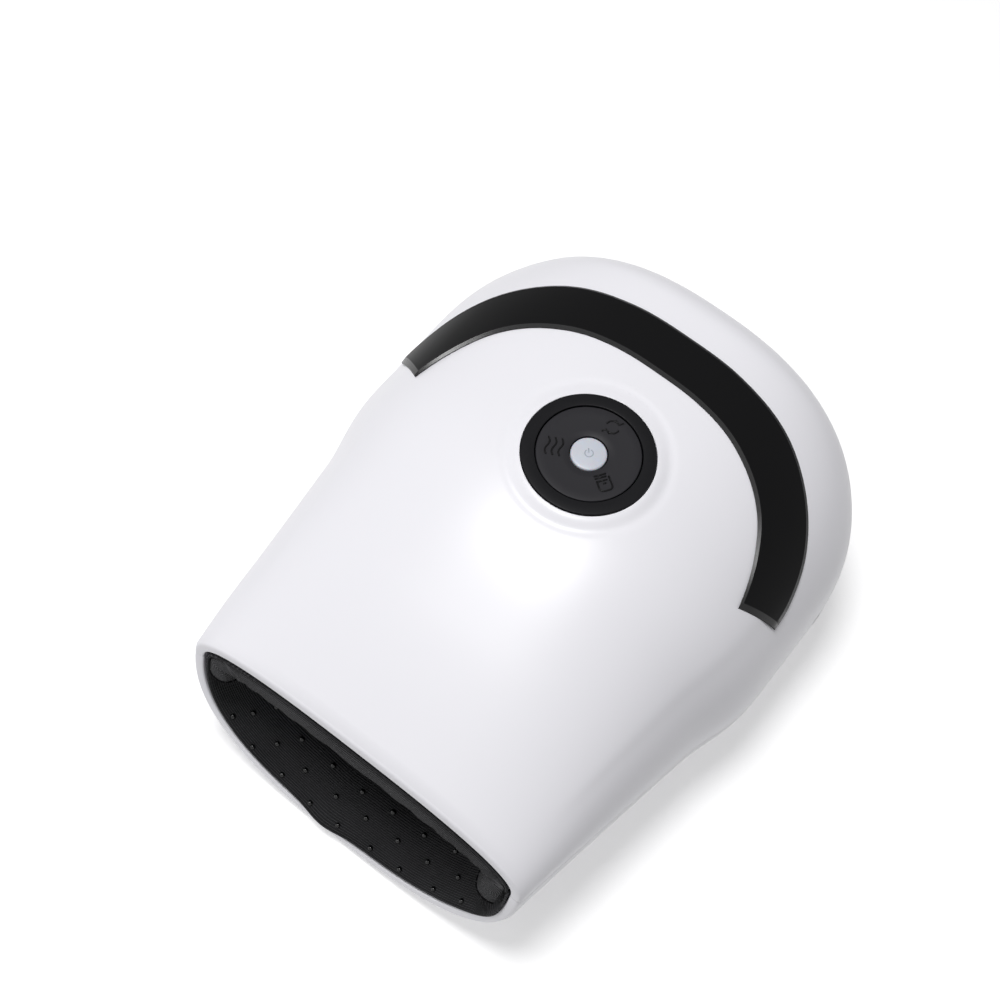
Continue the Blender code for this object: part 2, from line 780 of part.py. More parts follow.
SIDE_SCREW_EDGE = 0.0150
SIDE_SCREW_X = BODY_WIDTH / 2 - SIDE_SCREW_EDGE
SIDE_SCREW_DISTANCE = 0.1165
REAR_SCREW_EDGE = 0.0370
REAR_SCREW_X = BODY_WIDTH / 2 - REAR_SCREW_EDGE
REAR_SCREW_DISTANCE = 0.1735
TOWER_RADIUS = 0.0040
POST_RADIUS = 0.0034
WELL_RADIUS = 0.0029
CASE_SCREW_RADIUS = 0.0014
CASE_SCREW_HEAD_RADIUS = 0.0026
CASE_SCREW_HEAD_HEIGHT = 0.0020
CASE_SCREW_SEAT_DROP = 0.0060
CASE_SCREW_BITE = 0.0080


def case_screw_places():
    places = []
    for x, distance in ((SIDE_SCREW_X, SIDE_SCREW_DISTANCE), (REAR_SCREW_X, REAR_SCREW_DISTANCE)):
        for side in (-1, 1):
            places.append(Vector((side * x, along(distance), seam_line(distance))))
    return places


# Charging socket: a round jack on the seam at the right rear

SOCKET_DISTANCE = 0.1530
SOCKET_RISE = 0.0013
SOCKET_HOLE_RADIUS = 0.0032
SOCKET_BARREL_RADIUS = 0.0029
SOCKET_BORE_RADIUS = 0.00235
SOCKET_PIN_RADIUS = 0.0006
SOCKET_PIN_INSET = 0.0012
SOCKET_BORE_DEPTH = 0.0075
SOCKET_BODY_SIDE = 0.0085
SOCKET_BODY_LENGTH = 0.0095
SOCKET_RECESS = 0.0004
SOCKET_WALL_STEP = 0.0038


def socket_face():
    """The middle of the jack's outer face, just inside the outer form."""
    z = seam_line(SOCKET_DISTANCE) + SOCKET_RISE
    return Vector((body_section(SOCKET_DISTANCE).half_width - SOCKET_RECESS, along(SOCKET_DISTANCE), z))


def build_socket():
    face = socket_face()
    inward = Vector((-1, 0, 0))
    body_face = face + inward * SOCKET_WALL_STEP
    back = body_face + inward * SOCKET_BODY_LENGTH
    half = Vector((0, SOCKET_BODY_SIDE / 2, SOCKET_BODY_SIDE / 2))
    socket = make("charging_socket", block(back - half, body_face + half))
    barrel = rod(face, body_face + inward * SOCKET_WALL_STEP, SOCKET_BARREL_RADIUS, ROUND_SIDES)
    fuse(socket, tool("socket_barrel", barrel))
    bore_end = face + inward * SOCKET_BORE_DEPTH
    bore = rod(face - inward * CUT_OVERRUN, bore_end, SOCKET_BORE_RADIUS, ROUND_SIDES)
    cut(socket, tool("socket_bore", bore))
    pin_root = bore_end + inward * SOCKET_PIN_INSET
    pin = rod(face + inward * SOCKET_PIN_INSET, pin_root, SOCKET_PIN_RADIUS)
    fuse(socket, tool("socket_pin", pin))
    finish(socket, BLACK_PLASTIC, 0.4)


# Shells

SEAT_RING_RADIUS = FLANGE_RADIUS + FIT_GAP
SEAT_RING_BOTTOM = FLANGE_TOP + FIT_GAP
BRACKET_BOSS_X = 0.0430
BRACKET_BOSS_DISTANCE = 0.1885
BRACKET_LUG_HEIGHT = 0.0175
BRACKET_BOSS_RADIUS = 0.0030
BRACKET_SHEET = 0.0020
STAKE_RADIUS = 0.0012
STAKE_HEAD_RADIUS = 0.0022
STAKE_HEAD_HEIGHT = 0.0010
STAKE_ROOT = 0.0009


def bracket_boss_places():
    """The undersides of the bracket's two lugs."""
    return [
        Vector((side * BRACKET_BOSS_X, along(BRACKET_BOSS_DISTANCE), BRACKET_LUG_HEIGHT)) for side in (-1, 1)
    ]


def build_top_shell(core):
    shell = half_shell("top_shell", True)
    up = Vector((0, 0, 1))
    places = case_screw_places()
    posts = [rod(p + up * SEAM_GAP / 2, p + up * BODY_HEIGHT, POST_RADIUS) for p in places]
    posts = keep(tool("top_posts", *posts), core)
    fuse(shell, posts)
    profile = [
        (SEAT_RING_RADIUS, 0),
        (SEAT_RING_RADIUS, SEAT_RING_BOTTOM),
        (DIAL_RADIUS, SEAT_RING_BOTTOM),
        (DIAL_RADIUS, 0),
    ]
    seat = turned("dial_seat", profile, closed=True, hidden=True, parent=dial_frame)
    fuse(shell, keep(seat, core))
    opening = rod((0, 0, 2 * FLANGE_TOP), (0, 0, -FLANGE_TOP), DIAL_RADIUS + FIT_GAP, TURN_STEPS)
    cut(shell, tool("dial_opening", opening, parent=dial_frame))
    pilot_top = up * (CASE_SCREW_BITE + FIT_GAP)
    pilots = [rod(p - up * CUT_OVERRUN, p + pilot_top, CASE_SCREW_RADIUS + FIT_GAP) for p in places]
    cut(shell, tool("post_holes", *pilots))
    cut(shell, socket_opening)
    finish(shell, GLOSS_WHITE, 0.22)


def build_bottom_shell(core):
    shell = half_shell("bottom_shell", False)
    up = Vector((0, 0, 1))
    places = case_screw_places()
    towers = [rod(Vector((p.x, p.y, -SHELL_WALL)), p - up * SEAM_GAP / 2, TOWER_RADIUS) for p in places]
    fuse(shell, keep(tool("bottom_towers", *towers), core))
    bosses = [
        rod(Vector((p.x, p.y, -SHELL_WALL)), p - up * FIT_GAP, BRACKET_BOSS_RADIUS)
        for p in bracket_boss_places()
    ]
    fuse(shell, keep(tool("bracket_bosses", *bosses), core))
    stakes = [
        screw_shape(
            p + up * (BRACKET_SHEET + FIT_GAP + STAKE_HEAD_HEIGHT),
            p + up * (BRACKET_SHEET + FIT_GAP),
            p - up * STAKE_ROOT,
            STAKE_HEAD_RADIUS,
            STAKE_RADIUS,
        )
        for p in bracket_boss_places()
    ]
    fuse(shell, tool("bracket_stakes", *stakes))
    seats = [p - up * CASE_SCREW_SEAT_DROP for p in places]
    wells = [rod(Vector((s.x, s.y, -CUT_OVERRUN)), s, WELL_RADIUS) for s in seats]
    cut(shell, tool("screw_wells", *wells))
    bore_top = up * (CASE_SCREW_SEAT_DROP + CUT_OVERRUN)
    bores = [rod(s - up * CUT_OVERRUN, s + bore_top, CASE_SCREW_RADIUS + FIT_GAP) for s in seats]
    cut(shell, tool("tower_bores", *bores))
    cut(shell, socket_opening)
    finish(shell, GLOSS_WHITE, 0.25)
    for seat, label in zip(seats, ("side_left", "side_right", "rear_left", "rear_right")):
        head_top = seat - up * FIT_GAP
        head = head_top - up * CASE_SCREW_HEAD_HEIGHT
        tip = seat + up * (CASE_SCREW_SEAT_DROP + CASE_SCREW_BITE)
        shape = screw_shape(head, head_top, tip, CASE_SCREW_HEAD_RADIUS, CASE_SCREW_RADIUS)
        finish(make("case_screw_" + label, shape), STEEL, 0.35, 1.0)


# Arc trim: plan radii from the dial's middle, read at even angles from the side to the rear

TRIM_GAP = 0.0004
TRIM_THICKNESS = 0.0008
TRIM_INNER_SHARES = (0.7520, 0.6697, 0.5646, 0.4834, 0.4526)
TRIM_OUTER_SHARES = (0.9189, 0.9029, 0.8114, 0.7063, 0.6629)
TRIM_REAR_SHARE = 0.9473
TRIM_INNER_OVERSWEEP = 0.091
TRIM_OUTER_OVERSWEEP = -0.068
TRIM_STEPS = 28
TRIM_ACROSS = 3


def trim_edge(radius_shares, oversweep, share):
    """A point of the trim's edge in plan about the dial, from the right end round the rear to the left end."""
    angle = mix(-oversweep, pi + oversweep, share)
    folded = min(max(min(angle, pi - angle), 0), pi / 2)
    quarter = spread(0, pi / 2, len(radius_shares) - 1)
    # The shares mirror about the rear, so the line is read through both sides.
    stations = quarter + [pi - a for a in reversed(quarter[:-1])]
    values = list(radius_shares) + list(reversed(radius_shares[:-1]))
    radius_share = through(stations, values, folded)
    side_reach = BODY_WIDTH / 2
    rear_reach = (SEAM_LENGTH - DIAL_DISTANCE) * TRIM_REAR_SHARE
    return Vector((side_reach * cos(angle), rear_reach * sin(angle))) * radius_share


def build_trim():
    rows = []
    for k in range(TRIM_STEPS + 1):
        share = k / TRIM_STEPS
        inner = trim_edge(TRIM_INNER_SHARES, TRIM_INNER_OVERSWEEP, share)
        outer = trim_edge(TRIM_OUTER_SHARES, TRIM_OUTER_OVERSWEEP, share)
        row = []
        for across in spread(0, 1, TRIM_ACROSS):
            spot = mix(inner, outer, across)
            distance = DIAL_DISTANCE + spot.y
            row.append(Vector((spot.x, along(distance), crown_height(spot.x, distance, TRIM_GAP))))
        rows.append(row)
    trim = skin("arc_trim", rows, wall=TRIM_THICKNESS, outward=False)
    finish(trim, BLACK_PLASTIC, 0.18)


# Tunnel frames, with lugs at the sides that heat stakes of the lower frame hold together

LUG_DISTANCES = (0.070, 0.1310)
LUG_LENGTH = 0.0070
LUG_REACH = 0.0062
LUG_HEIGHT = 0.0034
LUG_ROOT = 0.0004
LUG_STEP = 0.0008
LUG_STAKE_OUT = 0.0034


def lug_blocks(side_of_seam):
    blocks = []
    for distance in LUG_DISTANCES:
        here = tunnel_section(distance)
        inner = here.half_width + UPPER_FRAME_DEPTH + LUG_ROOT
        near = here.middle + side_of_seam * LUG_STEP
        far = near + side_of_seam * LUG_HEIGHT
        front, rear = along(distance) - LUG_LENGTH / 2, along(distance) + LUG_LENGTH / 2
        for side in (-1, 1):
            xs = sorted((side * inner, side * (inner + LUG_REACH)))
            blocks.append(block((xs[0], front, min(near, far)), (xs[1], rear, max(near, far))))
    return blocks


def lug_stake_places():
    places = []
    for distance in LUG_DISTANCES:
        here = tunnel_section(distance)
        x = here.half_width + UPPER_FRAME_DEPTH + LUG_ROOT + LUG_STAKE_OUT
        places += [Vector((side * x, along(distance), here.middle)) for side in (-1, 1)]
    return places


def build_frames():
    up = Vector((0, 0, 1))
    upper = tunnel_layer(
        "upper_frame", UPPER_HALF, FRAME_START, FRAME_END, UPPER_FRAME_DEPTH, FRAME_WALL, SEAM_GAP / 2
    )
    fuse(upper, tool("upper_lugs", *lug_blocks(1)))
    board_bottom = BOARD_TOP - BOARD_THICKNESS - FIT_GAP
    corners = [board_corner(sx, sy, board_bottom) for sx in (-1, 1) for sy in (-1, 1)]
    posts = [rod(place - up * BOARD_DEPTH / 2, place, BOARD_POST_RADIUS) for place in corners]
    depth = UPPER_FRAME_DEPTH + FRAME_WALL / 2
    core = tunnel_core("frame_core", depth, depth, LOWER_FRAME_DEPTH + FRAME_WALL / 2)
    fuse(upper, cut(tool("board_posts", *posts, parent=dial_frame), core))
    pilots = [
        rod(place - up * BOARD_SCREW_DEPTH, place + up * CUT_OVERRUN, BOARD_SCREW_RADIUS + FIT_GAP)
        for place in corners
    ]
    cut(upper, tool("board_post_holes", *pilots, parent=dial_frame))
    places = lug_stake_places()
    reach = up * (LUG_STEP + LUG_HEIGHT + CUT_OVERRUN)
    cut(upper, tool("lug_bores", *[rod(p, p + reach, STAKE_RADIUS + FIT_GAP) for p in places]))
    finish(upper, FRAME_GREY, 0.5)

    lower = tunnel_layer(
        "lower_frame",
        LOWER_HALF,
        FRAME_START,
        FRAME_END,
        UPPER_FRAME_DEPTH,
        FRAME_WALL,
        -SEAM_GAP / 2,
        LOWER_FRAME_DEPTH,
    )
    fuse(lower, tool("lower_lugs", *lug_blocks(-1)))
    stake_seat = up * (LUG_STEP + LUG_HEIGHT + FIT_GAP)
    stakes = [
        screw_shape(
            p + stake_seat + up * STAKE_HEAD_HEIGHT,
            p + stake_seat,
            p - up * LUG_HEIGHT / 2,
            STAKE_HEAD_RADIUS,
            STAKE_RADIUS,
        )
        for p in places
    ]
    fuse(lower, tool("lug_stakes", *stakes))
    finish(lower, FRAME_GREY, 0.5)


# Airbags, heating pad, node plate and its nodes

UPPER_BAG_EDGE = radians(24)
LOWER_BAG_EDGE = radians(20)
BAG_STEPS = 12
NIPPLE_RADIUS = 0.0017
NIPPLE_LENGTH = 0.0110
NIPPLE_ROOT = 0.0030
UPPER_NIPPLE_X = 0.020
LOWER_NIPPLE_X = -0.020
HEATER_EDGE = radians(42)
HEATER_START = 0.045
HEATER_END = 0.1375
THERMOSTAT_LENGTH = 0.0080
THERMOSTAT_WIDTH = 0.0045
THERMOSTAT_HEIGHT = 0.0022
NODE_PLATE_EDGE = radians(62)
NODE_PLATE_SIDE = LINER_THICKNESS
NODE_PLATE_START = 0.040
NODE_PLATE_END = 0.1340
NODE_RADIUS = 0.0038
NODE_TOP_RADIUS = 0.0020
NODE_ROWS = 5
NODE_PITCH = 0.019
NODE_ANGLE_PITCH = radians(14)
NODES_IN_ROW = (4, 5)
NUDGE_SHARE = 0.01


def arc(middle, edge, steps=BAG_STEPS):
    """Angles of a layer that stops short of the seam by the edge on both sides."""
    return spread(middle - pi / 2 + edge, middle + pi / 2 - edge, steps)


def surface_spot(distance, angle, side, depth):
    """A place behind the liner's inner side, and the direction from it into the hand space."""
    here = tunnel_section(distance)
    spot = here.point(angle, side, depth, depth)
    nudge = (UPPER_HALF[1] - UPPER_HALF[0]) * NUDGE_SHARE
    tangent = here.point(angle + nudge, side, depth, depth) - here.point(angle - nudge, side, depth, depth)
    inward = Vector((tangent.z, 0, -tangent.x))
    if inward.dot(Vector((0, 0, here.middle)) - Vector((spot.x, 0, spot.z))) < 0:
        inward.negate()
    return spot, inward.normalized()


def nipple_shape(x, angle, depth):
    here = tunnel_section(AIRBAG_END)
    middle = depth + AIRBAG_THICKNESS / 2
    share = min(abs(x) / (here.half_width + middle), 1)
    above = sin(angle) > 0
    power = here.top_power if above else here.bottom_power
    reach = here.top - here.middle if above else here.middle - here.bottom
    z = here.middle + copysign((reach + middle) * (1 - share**power) ** (1 / power), sin(angle))
    start = Vector((x, along(AIRBAG_END - NIPPLE_ROOT), z))
    end = Vector((x, along(AIRBAG_END + NIPPLE_LENGTH), z))
    return start, end


upper_nipple = nipple_shape(UPPER_NIPPLE_X, pi / 2, UPPER_BAG_DEPTH)
lower_nipple = nipple_shape(LOWER_NIPPLE_X, -pi / 2, LOWER_BAG_DEPTH)


def build_soft_layers():
    upper = tunnel_layer(
        "upper_airbag",
        arc(pi / 2, UPPER_BAG_EDGE),
        AIRBAG_START,
        AIRBAG_END,
        UPPER_BAG_DEPTH,
        AIRBAG_THICKNESS,
    )
    fuse(upper, tool("upper_nipple", rod(*upper_nipple, NIPPLE_RADIUS)))
    finish(upper, BLADDER_GREY, 0.4)
    lower = tunnel_layer(
        "lower_airbag",
        arc(3 * pi / 2, LOWER_BAG_EDGE),
        AIRBAG_START,
        AIRBAG_END,
        UPPER_BAG_DEPTH,
        AIRBAG_THICKNESS,
        below=LOWER_BAG_DEPTH,
    )
    fuse(lower, tool("lower_nipple", rod(*lower_nipple, NIPPLE_RADIUS)))
    finish(lower, BLADDER_GREY, 0.4)
    heater = tunnel_layer(
        "heating_pad",
        arc(pi / 2, HEATER_EDGE),
        HEATER_START,
        HEATER_END,
        LINER_THICKNESS + FIT_GAP,
        HEATER_THICKNESS,
    )
    finish(heater, COPPER_FILM, 0.55)
    thermostat_start = HEATER_END + FIT_GAP
    low = Vector((-THERMOSTAT_WIDTH / 2, along(thermostat_start), HAND_ROOF + LINER_THICKNESS + FIT_GAP))
    high = low + Vector((THERMOSTAT_WIDTH, THERMOSTAT_LENGTH, THERMOSTAT_HEIGHT))
    finish(make("heater_thermostat", block(low, high)), SILICONE, 0.5)
    plate = tunnel_layer(
        "node_plate",
        arc(3 * pi / 2, NODE_PLATE_EDGE),
        NODE_PLATE_START,
        NODE_PLATE_END,
        NODE_PLATE_SIDE,
        NODE_PLATE_THICKNESS,
        below=NODE_PLATE_DEPTH,
    )
    beads = []
    for row in range(NODE_ROWS):
        distance = NODE_PLATE_START + NODE_PITCH / 2 + row * NODE_PITCH
        count = NODES_IN_ROW[row % 2]
        for k in range(count):
            angle = 3 * pi / 2 + (k - (count - 1) / 2) * NODE_ANGLE_PITCH
            root = NODE_PLATE_THICKNESS / 2
            foot, inward = surface_spot(distance, angle, NODE_PLATE_SIDE + root, NODE_PLATE_DEPTH + root)
            top = foot + inward * (NODE_HEIGHT + NODE_PLATE_THICKNESS / 2)
            beads.append(rod(foot, top, NODE_RADIUS, SMALL_SIDES, NODE_TOP_RADIUS))
    fuse(plate, tool("massage_nodes", *beads))
    finish(plate, FRAME_GREY, 0.45)


# Liner: two knit panels, the hem under the upper lip, grip dots and the ring that holds the edge

RING_START = 0.0035
RING_LENGTH = 0.0035
LINER_END_STEPS = 5
HEM_THICKNESS = 0.0010
HEM_START = 0.0012
HEM_FRONT = 0.0018
HEM_REAR = 0.0100
HEM_END = 0.0150
HEM_DROP = 0.0060
DOT_RADIUS = 0.0008
DOT_TOP_RADIUS = 0.0004
DOT_HEIGHT = 0.0006
DOT_SIDES = 5
DOT_PITCH = 0.0125
LOWER_DOT_START = 0.012
LOWER_DOT_ROWS = 9
UPPER_DOT_START = 0.024
UPPER_DOT_ROWS = 6
LOWER_DOT_REACH_SHARE = 0.86
UPPER_DOT_REACH_SHARE = 0.7
RING_THICKNESS = 0.0010


def liner_rows(angles, shift):
    round_start = HAND_LENGTH - HAND_ROUND
    ring_end = RING_START + RING_LENGTH
    stations = [0, RING_START, ring_end, (ring_end + INNER_FLARE) / 2]
    stations += tunnel_stations(INNER_FLARE, round_start, TUNNEL_STEP)
    stations += rounding(round_start, HAND_LENGTH, LINER_END_STEPS)
    return [tunnel_section(d).split(shift).row(angles) for d in stations]


def grip_dots(name, first, rows, middle, reach):
    """Moulded dots in staggered rows, rooted in the knit."""
    dots = []
    for row in range(rows):
        distance = first + row * DOT_PITCH * sqrt(3) / 2
        here = tunnel_section(distance)
        count = int(reach * here.half_width / DOT_PITCH)
        offset = DOT_PITCH / 2 if row % 2 else 0
        for k in range(-count, count + 1):
            x = k * DOT_PITCH + offset
            if abs(x) > reach * here.half_width:
                continue
            above = sin(middle) > 0
            power = here.top_power if above else here.bottom_power
            share = abs(x) / here.half_width
            quarter = acos(share ** (power / 2))
            angle = quarter if x > 0 else pi - quarter
            root = LINER_THICKNESS / 2
            foot, inward = surface_spot(distance, angle if above else -angle, root, root)
            top = foot + inward * (DOT_HEIGHT + LINER_THICKNESS / 2)
            dots.append(rod(foot, top, DOT_RADIUS, DOT_SIDES, DOT_TOP_RADIUS))
    return tool(name, *dots)


def build_liner():
    upper = skin("liner_upper", liner_rows(UPPER_HALF, SEAM_GAP / 2), wall=LINER_THICKNESS, outward=True)
    fuse(upper, grip_dots("upper_dots", UPPER_DOT_START, UPPER_DOT_ROWS, pi / 2, UPPER_DOT_REACH_SHARE))
    finish(upper, KNIT_BLACK, 0.9)
    lower = skin("liner_lower", liner_rows(LOWER_HALF, -SEAM_GAP / 2), wall=LINER_THICKNESS, outward=True)
    fuse(lower, grip_dots("lower_dots", LOWER_DOT_START, LOWER_DOT_ROWS, -pi / 2, LOWER_DOT_REACH_SHARE))
    finish(lower, KNIT_BLACK, 0.9)
    inset = -2 * FIT_GAP - HEM_THICKNESS
    # The hem is a padded welt: down behind the rim, under, and back up to the roof.
    drops = ((HEM_START, 0), (HEM_FRONT, HEM_DROP), (HEM_REAR, HEM_DROP), (HEM_END, 0))
    rows = [
        [tunnel_section(d).point(a, inset - drop, inset - drop, inset) for a in UPPER_HALF[1:-1]]
        for d, drop in drops
    ]
    finish(skin("liner_hem", rows, wall=HEM_THICKNESS, outward=True), HEM_GREY, 0.9)
    depth = LINER_THICKNESS + 2 * FIT_GAP
    ring_rows = [
        tunnel_section(d).row(UPPER_HALF + LOWER_HALF[1:], depth, depth, depth)
        for d in spread(RING_START, RING_START + RING_LENGTH, 1)
    ]
    ring = skin("liner_ring", ring_rows, wall=RING_THICKNESS, outward=True)
    finish(ring, GLOSS_WHITE, 0.4)


# Rear bay: distances from the mouth, heights above the resting plane

CELL_RADIUS = 0.00925
CELL_LENGTH = 0.065
CELL_DISTANCE = 0.1780
LOW_CELL_HEIGHT = 0.0184
CELL_PITCH = 0.0194
CELL_CAP_RADIUS = 0.0030
CELL_CAP_HEIGHT = 0.0010
BAY_HALF_WIDTH = 0.0385
BAY_FRONT = 0.1650
BAY_WALL_TOP = 0.0800
BAY_CUT_BOTTOM = 0.0115
CHEEK_REAR = 0.1885
RIB_REAR = 0.1805
RIB_X = 0.0200
SHELF_HEIGHT = 0.0478
SHELF_REAR = 0.1930
SHELF_RIGHT = 0.0455
SADDLE_LEFT = -0.0240
SADDLE_RIGHT = -0.0100
SADDLE_RISE = 0.0120
LUG_REAR = 0.1925
LUG_FRONT = 0.1845
LUG_OUTER_X = 0.0465
BATTERY_BOARD_LENGTH = 0.040
BATTERY_BOARD_HEIGHT = 0.014
BATTERY_BOARD_THICKNESS = 0.0012
BATTERY_BOARD_MIDDLE = 0.028
BATTERY_BOARD_SEAT = 0.0004


def bay_point(x, distance, height):
    return Vector((x, along(distance), height))


def bay_block(x_low, x_high, front, rear, bottom, top):
    return block(bay_point(x_low, front, bottom), bay_point(x_high, rear, top))


def cell_axes(end):
    """The two cells' axes, reaching out by a length to each side."""
    for level in range(2):
        height = LOW_CELL_HEIGHT + level * CELL_PITCH
        yield bay_point(-end, CELL_DISTANCE, height), bay_point(end, CELL_DISTANCE, height)


def build_battery():
    for (start, end), label in zip(cell_axes(CELL_LENGTH / 2), ("lower", "upper")):
        cell = make("battery_cell_" + label, rod(start, end, CELL_RADIUS, ROUND_SIDES))
        cap_end = end + Vector((CELL_CAP_HEIGHT, 0, 0))
        cap_root = end - Vector((CELL_CAP_HEIGHT, 0, 0))
        fuse(cell, tool("cell_cap_" + label, rod(cap_root, cap_end, CELL_CAP_RADIUS)))
        finish(cell, CELL_BLUE, 0.35)
    front = CELL_DISTANCE + CELL_RADIUS + BATTERY_BOARD_SEAT
    half_length, half_height = BATTERY_BOARD_LENGTH / 2, BATTERY_BOARD_HEIGHT / 2
    board = make(
        "battery_board",
        bay_block(
            -half_length,
            half_length,
            front,
            front + BATTERY_BOARD_THICKNESS,
            BATTERY_BOARD_MIDDLE - half_height,
            BATTERY_BOARD_MIDDLE + half_height,
        ),
    )
    finish(board, BOARD_GREEN, 0.45)


def build_bracket():
    sheet = BRACKET_SHEET
    bay_rear = BAY_FRONT + sheet
    root = FIT_GAP
    wall = bay_block(-BAY_HALF_WIDTH, BAY_HALF_WIDTH, BAY_FRONT, bay_rear, BAY_CUT_BOTTOM, BAY_WALL_TOP)
    bracket = make("rear_bracket", wall)
    shelf_top = SHELF_HEIGHT + sheet
    shelf = bay_block(-BAY_HALF_WIDTH, SHELF_RIGHT, bay_rear - root, SHELF_REAR, SHELF_HEIGHT, shelf_top)
    fuse(bracket, tool("bracket_shelf", shelf))
    uprights = []
    lugs = []
    for side in (-1, 1):
        cheek = sorted((side * BAY_HALF_WIDTH, side * (BAY_HALF_WIDTH - sheet)))
        uprights.append(bay_block(*cheek, bay_rear - root, CHEEK_REAR, BAY_CUT_BOTTOM, SHELF_HEIGHT + root))
        rib = (side * RIB_X - sheet / 2, side * RIB_X + sheet / 2)
        uprights.append(bay_block(*rib, bay_rear - root, RIB_REAR, BAY_CUT_BOTTOM, SHELF_HEIGHT + root))
        lug = sorted((side * LUG_OUTER_X, side * (BAY_HALF_WIDTH - sheet / 2)))
        lug_top = BRACKET_LUG_HEIGHT + sheet
        lugs.append(bay_block(*lug, LUG_FRONT, LUG_REAR, BRACKET_LUG_HEIGHT, lug_top))
    fuse(bracket, tool("bracket_uprights", *uprights))
    fuse(bracket, tool("bracket_lugs", *lugs))
    saddle_top = shelf_top + SADDLE_RISE
    saddle = bay_block(SADDLE_LEFT, SADDLE_RIGHT, bay_rear - root, SHELF_REAR, shelf_top - root, saddle_top)
    fuse(bracket, tool("bracket_saddle", saddle))
    axes = cell_axes(CELL_LENGTH / 2 + FIT_GAP)
    cell_room = [rod(start, end, CELL_RADIUS + FIT_GAP, ROUND_SIDES) for start, end in axes]
    cut(bracket, tool("cell_room", *cell_room))
    cradle_axis = pump_axis(SADDLE_LEFT - CUT_OVERRUN, SADDLE_RIGHT + CUT_OVERRUN)
    cut(bracket, tool("cradle_room", rod(*cradle_axis, CRADLE_RADIUS + FIT_GAP, TURN_STEPS)))
    reach = Vector((0, 0, BRACKET_SHEET + CUT_OVERRUN))
    holes = [rod(p - reach, p + reach, STAKE_RADIUS + FIT_GAP) for p in bracket_boss_places()]
    cut(bracket, tool("lug_holes", *holes))
    finish(bracket, FRAME_GREY, 0.5)


# Air pump: motor, head, shaft with its eccentric, and the rubber cradle

PUMP_DISTANCE = 0.1810
PUMP_HEIGHT = 0.0650
MOTOR_RADIUS = 0.0122
MOTOR_START = -0.0310
MOTOR_END = -0.0010
HEAD_RADIUS = 0.0135
HEAD_LENGTH = 0.0240
HEAD_WALL = 0.0016
CRADLE_RADIUS = 0.0142
CRADLE_START = -0.0250
CRADLE_END = -0.0090
SHAFT_RADIUS = 0.0010
SHAFT_CLEARANCE = 0.00009
SHAFT_DEPTH = 0.0120
ECCENTRIC_RADIUS = 0.0040
ECCENTRIC_OFFSET = 0.0015
ECCENTRIC_LENGTH = 0.0050
ECCENTRIC_START = 0.0060
NIPPLE_RISE = 0.0055
OUTLET_X = 0.0160


def pump_axis(start, end, offset=0):
    height = PUMP_HEIGHT + offset
    return bay_point(start, PUMP_DISTANCE, height), bay_point(end, PUMP_DISTANCE, height)


def build_pump():
    motor = make("pump_motor", rod(*pump_axis(MOTOR_START, MOTOR_END), MOTOR_RADIUS, TURN_STEPS))
    bore_radius = SHAFT_RADIUS + SHAFT_CLEARANCE
    bore_axis = pump_axis(MOTOR_END - SHAFT_DEPTH - FIT_GAP, MOTOR_END + CUT_OVERRUN)
    cut(motor, tool("motor_bore", rod(*bore_axis, bore_radius, ROUND_SIDES)))
    finish(motor, STEEL, 0.3, 1.0)

    head_start = MOTOR_END + FIT_GAP
    head_end = head_start + HEAD_LENGTH
    head = make("pump_head", rod(*pump_axis(head_start, head_end), HEAD_RADIUS, TURN_STEPS))
    top = bay_point(OUTLET_X, PUMP_DISTANCE, PUMP_HEIGHT + HEAD_RADIUS - HEAD_WALL / 2)
    outlet = rod(top, top + Vector((0, 0, NIPPLE_RISE)), NIPPLE_RADIUS)
    hollow_axis = pump_axis(head_start - CUT_OVERRUN, head_end - HEAD_WALL)
    cut(head, tool("head_hollow", rod(*hollow_axis, HEAD_RADIUS - HEAD_WALL, TURN_STEPS)))
    fuse(head, tool("head_outlet", outlet))
    finish(head, BLACK_PLASTIC, 0.4)

    shaft_axis = pump_axis(MOTOR_END - SHAFT_DEPTH, ECCENTRIC_START + ECCENTRIC_LENGTH / 2)
    shaft = make("pump_shaft", rod(*shaft_axis, SHAFT_RADIUS, ROUND_SIDES))
    disc_axis = pump_axis(ECCENTRIC_START, ECCENTRIC_START + ECCENTRIC_LENGTH, ECCENTRIC_OFFSET)
    fuse(shaft, tool("eccentric", rod(*disc_axis, ECCENTRIC_RADIUS, ROUND_SIDES)))
    finish(shaft, STEEL, 0.25, 1.0)

    cradle = make("pump_cradle", rod(*pump_axis(CRADLE_START, CRADLE_END), CRADLE_RADIUS, TURN_STEPS))
    room_axis = pump_axis(CRADLE_START - CUT_OVERRUN, CRADLE_END + CUT_OVERRUN)
    cut(cradle, tool("motor_room", rod(*room_axis, MOTOR_RADIUS + FIT_GAP, TURN_STEPS)))
    finish(cradle, RUBBER, 0.8)


# Release valve, with its sliding plunger and return spring

VALVE_X = 0.0350
VALVE_DISTANCE = 0.1765
VALVE_SIDE = 0.0140
VALVE_HEIGHT = 0.0200
VALVE_BORE_RADIUS = 0.00310
VALVE_BORE_DEPTH = 0.0150
PLUNGER_STEM_RADIUS = 0.00300
PLUNGER_STEM_LENGTH = 0.0105
PLUNGER_CAP_RADIUS = 0.0042
PLUNGER_CAP_THICKNESS = 0.0010
VALVE_TRAVEL = 0.0015
SPRING_RADIUS = 0.0021
SPRING_WIRE_RADIUS = 0.00025
SPRING_TURNS = 4
SPRING_POINTS_A_TURN = 10
VALVE_PORT_OFFSET = 0.0050


def valve_base():
    return bay_point(VALVE_X, VALVE_DISTANCE, SHELF_HEIGHT + BRACKET_SHEET + FIT_GAP)


